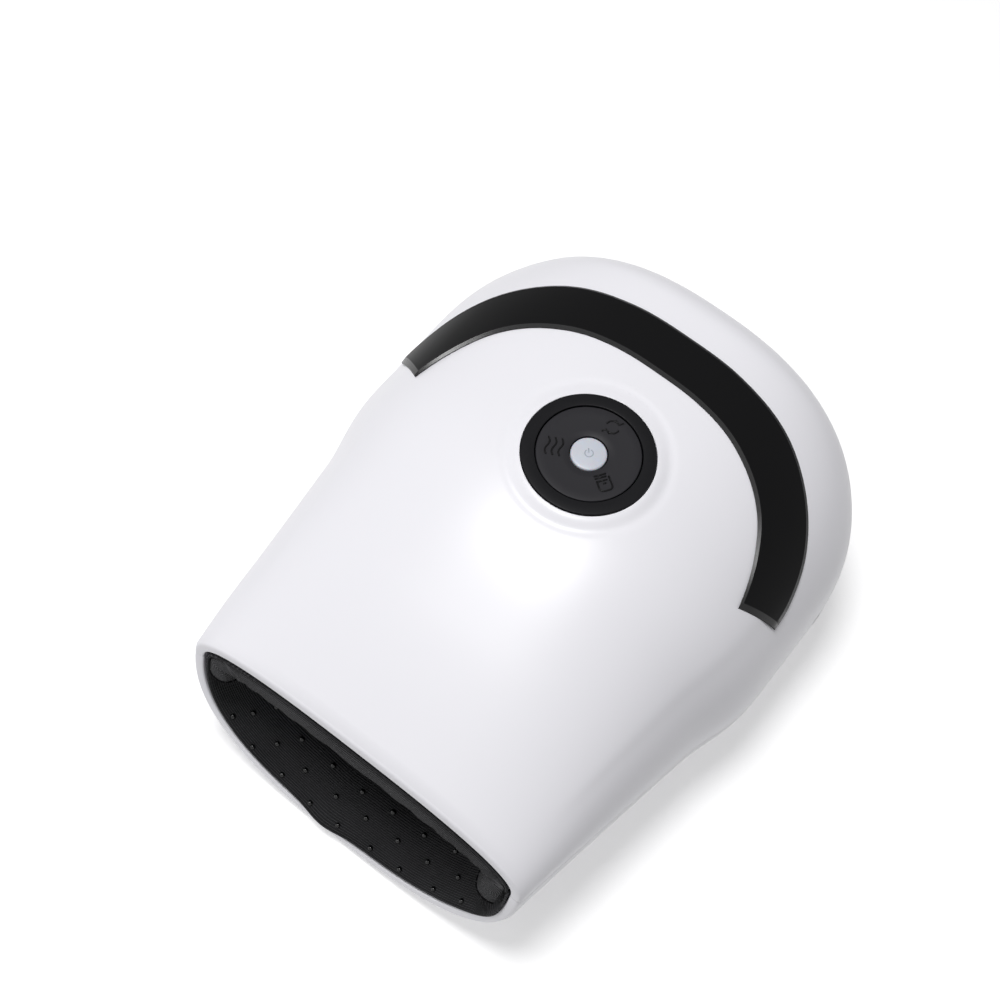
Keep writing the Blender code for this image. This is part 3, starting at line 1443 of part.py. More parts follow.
def valve_port():
    """Where the air hose reaches the top of the valve."""
    return valve_base() + Vector((VALVE_PORT_OFFSET, VALVE_PORT_OFFSET, VALVE_HEIGHT))


def build_valve():
    base = valve_base()
    up = Vector((0, 0, 1))
    half = Vector((VALVE_SIDE / 2, VALVE_SIDE / 2, 0))
    top = base + up * VALVE_HEIGHT
    body = make("valve_body", block(base - half, top + half))
    bore_floor = top - up * VALVE_BORE_DEPTH
    bore = rod(bore_floor, top + up * CUT_OVERRUN, VALVE_BORE_RADIUS, ROUND_SIDES)
    cut(body, tool("valve_bore", bore))
    port = valve_port()
    nipple = rod(port - up * FIT_GAP, port + up * NIPPLE_RISE, NIPPLE_RADIUS)
    fuse(body, tool("valve_nipple", nipple))
    finish(body, BLACK_PLASTIC, 0.45)

    cap_bottom = top + up * (FIT_GAP + VALVE_TRAVEL)
    cap_top = cap_bottom + up * PLUNGER_CAP_THICKNESS
    stem_bottom = cap_bottom - up * PLUNGER_STEM_LENGTH
    shape = screw_shape(
        cap_top,
        cap_bottom,
        stem_bottom,
        PLUNGER_CAP_RADIUS,
        PLUNGER_STEM_RADIUS,
        ROUND_SIDES,
    )
    finish(make("valve_plunger", shape), STEEL, 0.3, 1.0)

    low = bore_floor.z + FIT_GAP + SPRING_WIRE_RADIUS
    high = stem_bottom.z - FIT_GAP - SPRING_WIRE_RADIUS
    count = SPRING_TURNS * SPRING_POINTS_A_TURN
    path = []
    for k in range(count + 1):
        angle = 2 * pi * k / SPRING_POINTS_A_TURN
        across = Vector((SPRING_RADIUS * cos(angle), SPRING_RADIUS * sin(angle), 0))
        path.append(Vector((base.x, base.y, mix(low, high, k / count))) + across)
    finish(tube("valve_spring", path, SPRING_WIRE_RADIUS, 0), STEEL, 0.3, 1.0)


# Air manifold and hoses: solid here, for the bore never shows

MANIFOLD_DISTANCE = 0.1675
MANIFOLD_HEIGHT = 0.0880
MANIFOLD_START = 0.0100
MANIFOLD_END = 0.0300
MANIFOLD_RADIUS = 0.0030
HOSE_RADIUS = 0.0022
HOSE_STEPS = 4
HOSE_GAP = 0.0004
HOSE_BEND = 0.0100
HOSE_BEND_SHORT = 0.0040
HOSE_STUB = 0.0030
PUMP_HOSE_STUB = 0.0012
UPPER_HOSE_FRONT = 0.1552
LOWER_HOSE_DISTANCE = 0.1555
LOWER_HOSE_X = 0.0560
VALVE_HOSE_X = 0.0425
PORT_SPACING = 0.0085


def manifold_ports():
    """Port tips: pump, upper airbag, lower airbag and valve."""
    y, z = MANIFOLD_DISTANCE, MANIFOLD_HEIGHT
    reach = MANIFOLD_RADIUS + NIPPLE_RISE
    return {
        "pump": bay_point(MANIFOLD_START + MANIFOLD_RADIUS, y + reach, z),
        "upper": bay_point(MANIFOLD_START + MANIFOLD_RADIUS + PORT_SPACING, y - reach, z),
        "lower": bay_point(MANIFOLD_START - NIPPLE_RISE, y, z),
        "valve": bay_point(MANIFOLD_END + NIPPLE_RISE, y, z),
    }


def build_air_lines():
    ports = manifold_ports()
    start = bay_point(MANIFOLD_START, MANIFOLD_DISTANCE, MANIFOLD_HEIGHT)
    end = bay_point(MANIFOLD_END, MANIFOLD_DISTANCE, MANIFOLD_HEIGHT)
    manifold = make("air_manifold", rod(start, end, MANIFOLD_RADIUS, ROUND_SIDES))
    roots = {
        "pump": Vector((ports["pump"].x, start.y, start.z)),
        "upper": Vector((ports["upper"].x, start.y, start.z)),
        "lower": start + Vector((FIT_GAP, 0, 0)),
        "valve": end - Vector((FIT_GAP, 0, 0)),
    }
    nipples = [rod(roots[name], tip, NIPPLE_RADIUS) for name, tip in ports.items()]
    fuse(manifold, tool("manifold_ports", *nipples))
    finish(manifold, NATURAL_NYLON, 0.5)

    right, rear, up = Vector((1, 0, 0)), Vector((0, 1, 0)), Vector((0, 0, 1))
    outlet_tip = PUMP_HEIGHT + HEAD_RADIUS - HEAD_WALL / 2 + NIPPLE_RISE
    outlet = bay_point(OUTLET_X, PUMP_DISTANCE, outlet_tip)
    bag_height = lower_nipple[1].z
    paths = {
        "hose_pump": run(
            outlet + up * HOSE_GAP,
            up,
            [],
            ports["pump"] + rear * HOSE_GAP,
            rear,
            PUMP_HOSE_STUB,
        ),
        "hose_upper": run(
            ports["upper"] - rear * HOSE_GAP,
            -rear,
            [bay_point(ports["upper"].x, UPPER_HOSE_FRONT, BAY_WALL_TOP)],
            upper_nipple[1] + rear * HOSE_GAP,
            rear,
            HOSE_STUB,
        ),
        "hose_lower": run(
            ports["lower"] - right * HOSE_GAP,
            -right,
            [
                bay_point(-BAY_HALF_WIDTH, LOWER_HOSE_DISTANCE + HOSE_BEND, MANIFOLD_HEIGHT),
                bay_point(-LOWER_HOSE_X, LOWER_HOSE_DISTANCE, BAY_WALL_TOP - HOSE_BEND),
                bay_point(-LOWER_HOSE_X, LOWER_HOSE_DISTANCE, bag_height + 2 * HOSE_BEND),
                bay_point(-BAY_HALF_WIDTH, LOWER_HOSE_DISTANCE, bag_height + HOSE_BEND_SHORT),
            ],
            lower_nipple[1] + rear * HOSE_GAP,
            rear,
            HOSE_STUB,
        ),
        "hose_valve": run(
            ports["valve"] + right * HOSE_GAP,
            right,
            [bay_point(VALVE_HOSE_X, VALVE_DISTANCE, MANIFOLD_HEIGHT - HOSE_STUB)],
            valve_port() + up * (NIPPLE_RISE + HOSE_GAP),
            up,
            HOSE_STUB,
        ),
    }
    for name, path in paths.items():
        finish(tube(name, smooth_path(path, HOSE_STEPS), HOSE_RADIUS), SILICONE, 0.4)


# Leads: two-core wires drawn as one round lead each

LEAD_RADIUS = 0.0010
LEAD_STEPS = 4
LEAD_GAP = 0.0004
LEAD_STUB = 0.0025
LEAD_OVER_WALL = 0.0835
LEAD_OVER_HOSE = 0.0945
VALVE_LEAD_FRONT = 0.1500
SOCKET_LEAD_X = 0.0600
SIDE_PLUG = 3


def plug_end(number):
    """Where a lead meets a plug of the main board, in the part's own axes."""
    length, depth, _ = CONNECTOR_SIZE
    place = connector_places()[number]
    if number == SIDE_PLUG:
        step = Vector((length / 2 + LEAD_GAP, 0, 0))
    else:
        step = Vector((0, depth / 2 + LEAD_GAP, 0))
    return Matrix.Translation(dial_frame.location) @ Matrix.Rotation(DIAL_TILT, 4, "X") @ (place + step)


def build_leads():
    right, rear, up = Vector((1, 0, 0)), Vector((0, 1, 0)), Vector((0, 0, 1))
    board_rear = CELL_DISTANCE + CELL_RADIUS + BATTERY_BOARD_SEAT + BATTERY_BOARD_THICKNESS + LEAD_GAP
    end_x = BATTERY_BOARD_LENGTH / 2 - HOSE_BEND_SHORT
    socket_back = socket_face() - right * (SOCKET_WALL_STEP + SOCKET_BODY_LENGTH + LEAD_GAP)
    heater_rear = Vector(
        (0, along(HEATER_END + FIT_GAP + THERMOSTAT_LENGTH + LEAD_GAP), HAND_ROOF + 2 * HEATER_THICKNESS)
    )
    valve_top = valve_base() + Vector((-VALVE_PORT_OFFSET, -VALVE_PORT_OFFSET, VALVE_HEIGHT + LEAD_GAP))
    paths = {
        "lead_battery": run(
            bay_point(-end_x, board_rear, BATTERY_BOARD_MIDDLE),
            rear,
            [
                bay_point(
                    -end_x - HOSE_BEND,
                    SHELF_REAR + HOSE_BEND_SHORT / 2,
                    SHELF_HEIGHT - HOSE_BEND_SHORT,
                ),
                bay_point(-BAY_HALF_WIDTH, SHELF_REAR, SHELF_HEIGHT + HOSE_BEND),
                bay_point(-BAY_HALF_WIDTH, PUMP_DISTANCE, LEAD_OVER_WALL - HOSE_BEND_SHORT),
                bay_point(-BAY_HALF_WIDTH + HOSE_BEND, BAY_FRONT, LEAD_OVER_WALL),
            ],
            plug_end(0),
            rear,
            LEAD_STUB,
        ),
        "lead_pump": run(
            bay_point(MOTOR_START - LEAD_GAP, PUMP_DISTANCE, PUMP_HEIGHT + MOTOR_RADIUS / 2),
            -right,
            [
                bay_point(MOTOR_START - LEAD_STUB, PUMP_DISTANCE, MANIFOLD_HEIGHT - HOSE_BEND_SHORT),
                bay_point(MOTOR_START + 2 * HOSE_BEND, BAY_FRONT, LEAD_OVER_HOSE),
            ],
            plug_end(1),
            rear,
            LEAD_STUB,
        ),
        "lead_valve": run(
            valve_top,
            up,
            [
                bay_point(valve_top.x, BAY_FRONT, LEAD_OVER_WALL),
                bay_point(valve_top.x, VALVE_LEAD_FRONT, LEAD_OVER_WALL),
            ],
            plug_end(2),
            rear,
            LEAD_STUB,
        ),
        "lead_heater": run(
            heater_rear,
            rear,
            [bay_point(BOARD_LENGTH / 2, FRAME_END + HOSE_BEND_SHORT, BAY_WALL_TOP)],
            plug_end(SIDE_PLUG),
            right,
            LEAD_STUB,
        ),
        "lead_socket": run(
            socket_back,
            -right,
            [
                bay_point(SOCKET_LEAD_X, CELL_DISTANCE, BATTERY_BOARD_MIDDLE + HOSE_BEND_SHORT),
                bay_point(BAY_HALF_WIDTH + HOSE_BEND_SHORT, SHELF_REAR, BATTERY_BOARD_MIDDLE),
            ],
            bay_point(end_x, board_rear, BATTERY_BOARD_MIDDLE),
            rear,
            LEAD_STUB,
        ),
    }
    for name, path in paths.items():
        finish(tube(name, smooth_path(path, LEAD_STEPS), LEAD_RADIUS, 0), RUBBER, 0.6)


# Rubber feet, shaped to the sole above them

FOOT_RADIUS = 0.0055
FRONT_FOOT_X = 0.0250
FRONT_FOOT_DISTANCE = 0.036
REAR_FOOT_X = 0.0380
REAR_FOOT_DISTANCE = 0.1514
FOOT_REACH = 0.0200


def build_feet():
    sole = body_core("sole_above_feet", -FIT_GAP)
    front = (FRONT_FOOT_X, FRONT_FOOT_DISTANCE, "front")
    rear = (REAR_FOOT_X, REAR_FOOT_DISTANCE, "rear")
    reach = Vector((0, 0, FOOT_REACH))
    for x, distance, row in (front, rear):
        for side, label in ((-1, "left"), (1, "right")):
            place = bay_point(side * x, distance, 0)
            name = "foot_" + row + "_" + label
            foot = make(name, rod(place, place + reach, FOOT_RADIUS, ROUND_SIDES))
            finish(cut(foot, sole), RUBBER, 0.8)


socket_mid = socket_face()
socket_reach = Vector((SHELL_WALL + CUT_OVERRUN, 0, 0))
socket_hole = rod(socket_mid - socket_reach, socket_mid + socket_reach, SOCKET_HOLE_RADIUS, ROUND_SIDES)
socket_opening = tool("socket_opening", socket_hole)

wall_core = body_core("wall_core", SHELL_WALL / 2)
build_top_shell(wall_core)
build_bottom_shell(wall_core)
build_bezel()
build_controls()
build_board()
build_switches()
build_buzzer()
build_socket()
build_trim()
build_frames()
build_soft_layers()
build_liner()
build_battery()
build_bracket()
build_pump()
build_valve()
build_air_lines()
build_leads()
build_feet()
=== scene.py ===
import json
import math
from fnmatch import fnmatch
from functools import partial
import bmesh
import bpy
import numpy as np
from mathutils import Matrix, Vector

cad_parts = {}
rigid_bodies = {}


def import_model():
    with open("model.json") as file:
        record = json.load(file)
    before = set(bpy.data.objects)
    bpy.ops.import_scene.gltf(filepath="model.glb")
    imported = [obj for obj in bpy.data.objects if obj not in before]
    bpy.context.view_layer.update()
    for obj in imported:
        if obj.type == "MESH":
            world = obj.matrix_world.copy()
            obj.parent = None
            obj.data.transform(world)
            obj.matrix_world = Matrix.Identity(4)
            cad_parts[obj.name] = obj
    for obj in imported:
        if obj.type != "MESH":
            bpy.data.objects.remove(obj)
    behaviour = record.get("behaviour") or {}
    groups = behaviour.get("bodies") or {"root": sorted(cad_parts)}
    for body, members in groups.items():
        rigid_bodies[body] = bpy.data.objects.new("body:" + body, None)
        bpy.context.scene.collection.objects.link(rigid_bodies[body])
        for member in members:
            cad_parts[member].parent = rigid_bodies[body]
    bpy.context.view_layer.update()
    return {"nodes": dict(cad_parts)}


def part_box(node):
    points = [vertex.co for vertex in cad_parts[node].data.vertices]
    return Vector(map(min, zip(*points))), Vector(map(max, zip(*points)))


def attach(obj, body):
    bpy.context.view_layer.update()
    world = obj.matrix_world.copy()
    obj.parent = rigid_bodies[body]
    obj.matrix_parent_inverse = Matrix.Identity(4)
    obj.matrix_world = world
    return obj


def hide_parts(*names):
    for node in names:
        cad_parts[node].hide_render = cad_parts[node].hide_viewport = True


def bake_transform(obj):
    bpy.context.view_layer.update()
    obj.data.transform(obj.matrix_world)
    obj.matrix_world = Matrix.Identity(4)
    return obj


for spare in [o for o in bpy.data.objects if o.name in ("Cube", "Camera", "Light")]:
    bpy.data.objects.remove(spare)
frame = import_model()
nodes = frame["nodes"]
print("hand massager: CAD frame loaded")

# The outer form, in metres. It follows the same rule as the CAD shells, only finer.
form = {
    "length": 0.220, "width": 0.175,
    "mouthWidth": 0.1366, "sleeveWidth": 0.1635, "sleeveLength": 0.0870, "flareLead": 0.0077,
    "flareEnd": 0.1169, "roundStart": 0.1491, "crownRoundStart": 0.1864, "seamFallEnd": 0.1153,
    "mouthSeam": 0.0533, "rearSeam": 0.0375, "sole": 0.002,
    "crownAt": (0, 0.0480, 0.0961, 0.1345, 0.1730),
    "crownHeights": (0.0714, 0.0886, 0.1015, 0.1034, 0.1038, 0.1045),
    "leanReach": 0.0961, "lean": 0.1682, "powerBlendEnd": 0.1249,
    "mouthTopPower": 2.667, "rearTopPower": 2.428, "mouthSolePower": 2.48, "rearSolePower": 2.402,
    "planPower": 2.45, "crownPower": 2.124, "solePower": 3.675,
}
lipReach = form["lean"] * (form["mouthSeam"] - form["sole"])
seamLength = form["length"] - lipReach  # distances run from the mouth's seam to the rear tip
quarter = math.pi / 2


def smooth(t):
    t = np.clip(t, 0, 1)
    return t * t * (3 - 2 * t)


def mix(a, b, t):
    return a + (b - a) * t


def along(distance):
    return distance + lipReach - form["length"] / 2


# A smooth curve through a value at each station
def through(stations, values, at):
    s, v = np.asarray(stations, float), np.asarray(values, float)
    last = len(s) - 1
    before, after = np.maximum(np.arange(last + 1) - 1, 0), np.minimum(np.arange(last + 1) + 1, last)
    slopes = (v[after] - v[before]) / (s[after] - s[before])
    at = np.asarray(at, float)
    k = np.clip(np.searchsorted(s, at, side="right") - 1, 0, last - 1)
    span = s[k + 1] - s[k]
    t = (at - s[k]) / span
    rise = (2 * t**3 - 3 * t**2 + 1) * v[k] + (3 * t**2 - 2 * t**3) * v[k + 1]
    return rise + span * ((t**3 - 2 * t**2 + t) * slopes[k] + (t**3 - t**2) * slopes[k + 1])


def closing(distance, start, end, power):
    return (1 - np.clip((distance - start) / (end - start), 0, 1) ** power) ** (1 / power)


def seamLine(distance):
    return mix(form["mouthSeam"], form["rearSeam"], smooth(distance / form["seamFallEnd"]))


def crownLine(distance):
    return through((*form["crownAt"], seamLength), form["crownHeights"], distance)


# Half width, middle, top and bottom of the outer form at each distance
def bodyCut(d, inset=0.0):
    sleeve = mix(form["mouthWidth"], form["sleeveWidth"], d / form["sleeveLength"]) / 2
    flareStart = form["sleeveLength"] - form["flareLead"]
    flare = smooth((d - flareStart) / (form["flareEnd"] - flareStart))
    tip = seamLength - inset
    half = mix(sleeve, form["width"] / 2, flare) - inset
    half = half * closing(d, form["roundStart"], tip, form["planPower"])
    middle = seamLine(d)
    crownEnd = closing(d, form["crownRoundStart"], tip, form["crownPower"])
    top = middle + (crownLine(np.minimum(d, seamLength)) - middle - inset) * crownEnd
    bottom = middle - (middle - form["sole"] - inset) * closing(d, form["roundStart"], tip, form["solePower"])
    return half, middle, top, bottom


def sidePowers(d):
    share = smooth(d / form["powerBlendEnd"])
    return [mix(form["mouth" + side], form["rear" + side], share) for side in ("TopPower", "SolePower")]


# Points of a cut: a superellipse, moved out by side and lift, whose seam may be shifted
def onCut(d, cut, angle, side=0.0, lift=0.0, shift=0.0):
    half, middle, top, bottom = cut
    middle = middle + shift
    topPower, solePower = sidePowers(d)
    across, rise = np.cos(angle), np.sin(angle)
    power = np.where(rise > 0, topPower, solePower)
    reach = np.where(rise > 0, top - middle + lift, middle - bottom + lift)
    x = (half + side) * np.sign(across) * np.abs(across) ** (2 / power)
    z = reach * np.sign(rise) * np.abs(rise) ** (2 / power)
    lean = form["lean"] * z * (1 - smooth(d / form["leanReach"]))
    return np.stack(np.broadcast_arrays(x, along(d) + lean, middle + z), axis=-1)


def crownHeight(x, d, outset=0.0):
    half, middle, top, _ = bodyCut(d, -outset)
    power = sidePowers(d)[0]
    reach = np.clip(np.abs(x) / np.maximum(half, 1e-6), 0, 1)
    return middle + (top - middle) * (1 - reach**power) ** (1 / power)


# Height of the outer form's lower side under a point of the plan
def soleHeight(x, d):
    half, middle, _, bottom = bodyCut(d)
    power = sidePowers(d)[1]
    return float(middle - (middle - bottom) * (1 - min(abs(x) / half, 1) ** power) ** (1 / power))


# Mesh helpers. The welds are the distances under which points become one.
welds = {"mesh": 1e-6, "tubes": 1e-7, "soft": 1e-5}


def linked(name, data):
    obj = bpy.data.objects.new(name, data)
    bpy.context.scene.collection.objects.link(obj)
    return obj


def smoothed(mesh, sharp=None):
    mesh.shade_smooth()
    if sharp:
        mesh.set_sharp_from_angle(angle=math.radians(sharp))
    return mesh


def painted(obj, material, sharp=None):
    obj.data.materials.clear()
    obj.data.materials.append(material)
    smoothed(obj.data, sharp)
    return obj


def settled(obj, body, standsFor=()):
    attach(obj, body)
    if standsFor:
        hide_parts(*standsFor)
    return obj


def piece(name, mesh, body, material, standsFor=()):
    obj = linked(name, mesh)
    mesh.materials.clear()
    mesh.materials.append(material)
    return settled(obj, body, standsFor)


def gridFaces(rows, cols, first=0):
    corners = [first + r * cols + c for r in range(rows - 1) for c in range(cols - 1)]
    return [(k, k + cols, k + cols + 1, k + 1) for k in corners]


# Faces of two grids, one under the other, closed by walls round their edge
def slabFaces(rows, cols):
    under = rows * cols
    rim = list(range(cols)) + [r * cols + cols - 1 for r in range(1, rows)]
    rim += [(rows - 1) * cols + c for c in range(cols - 2, -1, -1)]
    rim += [r * cols for r in range(rows - 2, 0, -1)]
    walls = [(a, b, b + under, a + under) for a, b in zip(rim, rim[1:] + rim[:1])]
    return gridFaces(rows, cols) + [face[::-1] for face in gridFaces(rows, cols, under)] + walls


def rawMesh(name, points, faces):
    mesh = bpy.data.meshes.new(name)
    mesh.from_pydata([tuple(p) for p in points], [], faces)
    return mesh


def cleaned(mesh, sharp, dissolve=False):
    bm = bmesh.new()
    bm.from_mesh(mesh)
    bmesh.ops.remove_doubles(bm, verts=bm.verts, dist=welds["mesh"])
    if dissolve:
        bmesh.ops.dissolve_degenerate(bm, dist=welds["mesh"], edges=bm.edges)
    bmesh.ops.recalc_face_normals(bm, faces=bm.faces)
    bm.to_mesh(mesh)
    bm.free()
    return smoothed(mesh, sharp)


def closedMesh(name, points, faces, sharp=40):
    return cleaned(rawMesh(name, points, faces), sharp, dissolve=True)


def joinedMesh(name, meshes, sharp=None):
    bm = bmesh.new()
    for mesh in meshes:
        bm.from_mesh(mesh)
    bmesh.ops.remove_doubles(bm, verts=bm.verts, dist=welds["tubes"])
    bmesh.ops.recalc_face_normals(bm, faces=bm.faces)
    made = bpy.data.meshes.new(name)
    bm.to_mesh(made)
    bm.free()
    return smoothed(made, sharp)


# The evaluated shape as a plain mesh, with no modifiers left
def plain(obj):
    mesh = bpy.data.meshes.new_from_object(obj.evaluated_get(bpy.context.evaluated_depsgraph_get()))
    mesh.name = obj.data.name + "Mesh"
    obj.modifiers.clear()
    obj.data = mesh
    return obj


# Cuts or adds a round bar between two points
def bore(obj, start, end, radius, sides=48, operation="DIFFERENCE"):
    bm = bmesh.new()
    run = Vector(end) - Vector(start)
    turn = Vector((0, 0, 1)).rotation_difference(run).to_matrix().to_4x4()
    place = Matrix.Translation((Vector(start) + Vector(end)) / 2) @ turn
    bmesh.ops.create_cone(
        bm, cap_ends=True, segments=sides, radius1=radius, radius2=radius, depth=run.length, matrix=place)
    mesh = bpy.data.meshes.new("cutter")
    bm.to_mesh(mesh)
    bm.free()
    cutter = linked("cutter", mesh)
    cutting = obj.modifiers.new("hole", "BOOLEAN")
    cutting.operation = operation
    cutting.object = cutter
    cutting.solver = "EXACT"
    plain(obj)
    bpy.data.objects.remove(cutter)


def softEdges(obj, width, angle=40):
    rounding = obj.modifiers.new("softEdges", "BEVEL")
    rounding.width = width
    rounding.segments = 2
    rounding.limit_method = "ANGLE"
    rounding.angle_limit = math.radians(angle)
    rounding.harden_normals = False
    return plain(obj)


# Steps in and down of a rounded edge, from its flat side to its upright one
def roundOver(radius, count):
    return [(radius * (1 - math.sin(a)), radius * (1 - math.cos(a))) for a in np.linspace(0, quarter, count)]


# Node helpers


def node(tree, kind, links=(), **values):
    made = tree.nodes.new(kind)
    for key, value in values.items():
        setattr(made, key, value)
    for socket, source in links:
        if isinstance(source, bpy.types.NodeSocket):
            tree.links.new(source, made.inputs[socket])
        else:
            made.inputs[socket].default_value = source
    return made


def maths(tree, operation, *operands):
    return node(tree, "ShaderNodeMath", list(enumerate(operands)), operation=operation).outputs[0]


def noise(tree, vector, scale, detail=3.0, rough=0.5):
    links = [("Vector", vector), ("Scale", scale), ("Detail", detail), ("Roughness", rough)]
    return node(tree, "ShaderNodeTexNoise", links).outputs["Fac"]


def colourMix(tree, share, first, second):
    ends = [end if isinstance(end, bpy.types.NodeSocket) else (*end, 1) for end in (first, second)]
    return node(tree, "ShaderNodeMix", [(0, share), (6, ends[0]), (7, ends[1])], data_type="RGBA").outputs[2]


# Shader node groups that several materials share
grainLook = {
    "detail": 4.0, "rough": 0.6, "fineShare": 0.6, "driftShare": 0.6, "gloss": 0.10, "edgeGloss": -0.06,
    "wear": 6.0,
}
weave = {
    "sway": 60.0, "swayDetail": 2.0, "sideStep": 0.25, "fuzz": 3500.0, "stitchHeight": 0.35,
    "fuzzHeight": 0.25, "crestPower": 2.2, "stitchShade": 0.4, "worn": 1.7, "wornShare": 0.35,
    "fuzzGloss": 0.2,
}


def newGroup(name, numbers):
    group = bpy.data.node_groups.new(name, "ShaderNodeTree")
    group.interface.new_socket(name="Vector", in_out="INPUT", socket_type="NodeSocketVector")
    for label, value in numbers.items():
        socket = group.interface.new_socket(name=label, in_out="INPUT", socket_type="NodeSocketFloat")
        socket.default_value = value
    return group, group.nodes.new("NodeGroupInput").outputs


def giveOut(group, **results):
    for label in results:
        group.interface.new_socket(name=label, in_out="OUTPUT", socket_type="NodeSocketFloat")
    end = group.nodes.new("NodeGroupOutput")
    for label, result in results.items():
        group.links.new(result, end.inputs[label])
    return group


# A fine moulded grain: a mask, a broad drift and a height
def makeGrain():
    group, given = newGroup("mouldedGrain", {"Fine Scale": 900.0, "Broad Scale": 18.0})
    share, detail, rough = (grainLook[key] for key in ("fineShare", "detail", "rough"))
    fine = noise(group, given["Vector"], given["Fine Scale"], detail, rough)
    broad = noise(group, given["Vector"], given["Broad Scale"])
    height = maths(group, "MULTIPLY_ADD", broad, 1 - share, maths(group, "MULTIPLY", fine, share))
    return giveOut(group, Mask=fine, Broad=broad, Height=height)


# A mask that is 1 along worn edges
def makeEdgeWear():
    group, given = newGroup("edgeWear", {"Radius": 0.0006, "Breakup": 400.0})
    edge = node(group, "ShaderNodeBevel", [("Radius", given["Radius"])], samples=4).outputs[0]
    flat = node(group, "ShaderNodeNewGeometry").outputs["Normal"]
    same = node(group, "ShaderNodeVectorMath", [(0, edge), (1, flat)], operation="DOT_PRODUCT")
    away = maths(group, "SUBTRACT", 1.0, same.outputs["Value"])
    away = maths(group, "MULTIPLY", away, grainLook["wear"])
    mask = maths(group, "MULTIPLY", away, noise(group, given["Vector"], given["Breakup"]))
    return giveOut(group, Mask=node(group, "ShaderNodeClamp", [(0, mask)]).outputs[0])


# Ribs along U that repeat along V, with stitches in each rib. The map is in metres. Rib is 1 on the crests
# and falls in the grooves and between stitches: a mask for painted shade there.
def makeKnit():
    group, given = newGroup("ribbedKnit", {"Rib Pitch": 0.00085, "Stitch Pitch": 0.0006, "Waver": 0.0002})
    calc = partial(maths, group)
    split = node(group, "ShaderNodeSeparateXYZ", [(0, given["Vector"])]).outputs
    sway = noise(group, given["Vector"], weave["sway"], weave["swayDetail"])
    v = calc("ADD", split["Y"], calc("MULTIPLY", calc("SUBTRACT", sway, 0.5), given["Waver"]))
    ribTurn = calc("MULTIPLY", calc("DIVIDE", v, given["Rib Pitch"]), 2 * math.pi)
    rib = calc("MULTIPLY_ADD", calc("SINE", ribTurn), 0.5, 0.5)
    side = calc("MULTIPLY", calc("SIGN", calc("SINE", calc("MULTIPLY", ribTurn, 0.5))), weave["sideStep"])
    stitches = calc("ADD", calc("DIVIDE", split["X"], given["Stitch Pitch"]), side)
    stitch = calc("MULTIPLY_ADD", calc("SINE", calc("MULTIPLY", stitches, 2 * math.pi)), 0.5, 0.5)
    fuzz = noise(group, given["Vector"], weave["fuzz"])
    fuzzy = calc("MULTIPLY_ADD", fuzz, weave["fuzzHeight"], rib)
    height = calc("MULTIPLY_ADD", stitch, weave["stitchHeight"], fuzzy)
    # painted shade between the stitches
    shade = calc("MULTIPLY_ADD", stitch, weave["stitchShade"], 1 - weave["stitchShade"])
    crest = calc("MULTIPLY", calc("POWER", rib, weave["crestPower"]), shade)
    return giveOut(group, Height=height, Rib=crest, Fuzz=fuzz)


mouldedGrain, edgeWear, ribbedKnit = makeGrain(), makeEdgeWear(), makeKnit()

# Materials


def placeGroup(tree, group, vector, **values):
    made = tree.nodes.new("ShaderNodeGroup")
    made.node_tree = group
    tree.links.new(vector, made.inputs["Vector"])
    setInputs(made, values)
    return made.outputs


def setInputs(made, values):
    for key, value in values.items():
        made.inputs[key.replace("_", " ")].default_value = value


def startMaterial(name, colour):
    material = bpy.data.materials.new(name)
    material.use_nodes = True
    material.diffuse_color = (*colour, 1)
    tree = material.node_tree
    where = tree.nodes.new("ShaderNodeTexCoord").outputs["Object"]
    return material, tree, tree.nodes["Principled BSDF"], where


def finishShader(tree, shader, colour, rough, height, depth, constants):
    relief = node(tree, "ShaderNodeBump", [("Height", height), ("Distance", depth), ("Strength", 1.0)])
    tree.links.new(colour, shader.inputs["Base Color"])
    tree.links.new(rough, shader.inputs["Roughness"])
    tree.links.new(relief.outputs[0], shader.inputs["Normal"])
    setInputs(shader, constants)


# Moulded plastic, rubber or metal with grain, colour drift, rubbed edges and uneven gloss
def moulded(name, colour, worn, rough, shift=0.05, fine=900.0, broad=18.0, bump=0.00002, wear=0.5,
            radius=0.0006, specular=0.5, **constants):
    material, tree, shader, where = startMaterial(name, colour)
    calc = partial(maths, tree)
    grain = placeGroup(tree, mouldedGrain, where, Fine_Scale=fine, Broad_Scale=broad)
    edge = placeGroup(tree, edgeWear, where, Radius=radius)["Mask"]
    share, spread = grainLook["driftShare"], grainLook["gloss"]
    drift = calc("MULTIPLY_ADD", grain["Broad"], share, calc("MULTIPLY", grain["Mask"], 1 - share))
    darker, lighter = ([min(c * (1 + way * shift), 1) for c in colour] for way in (-1, 1))
    rubbed = colourMix(tree, calc("MULTIPLY", edge, wear), colourMix(tree, drift, darker, lighter), worn)
    gloss = calc("MULTIPLY_ADD", grain["Mask"], spread, rough - spread / 2)
    gloss = calc("MULTIPLY_ADD", edge, grainLook["edgeGloss"], gloss)
    constants["Specular_IOR_Level"] = specular
    finishShader(tree, shader, rubbed, gloss, grain["Height"], bump, constants)
    return material
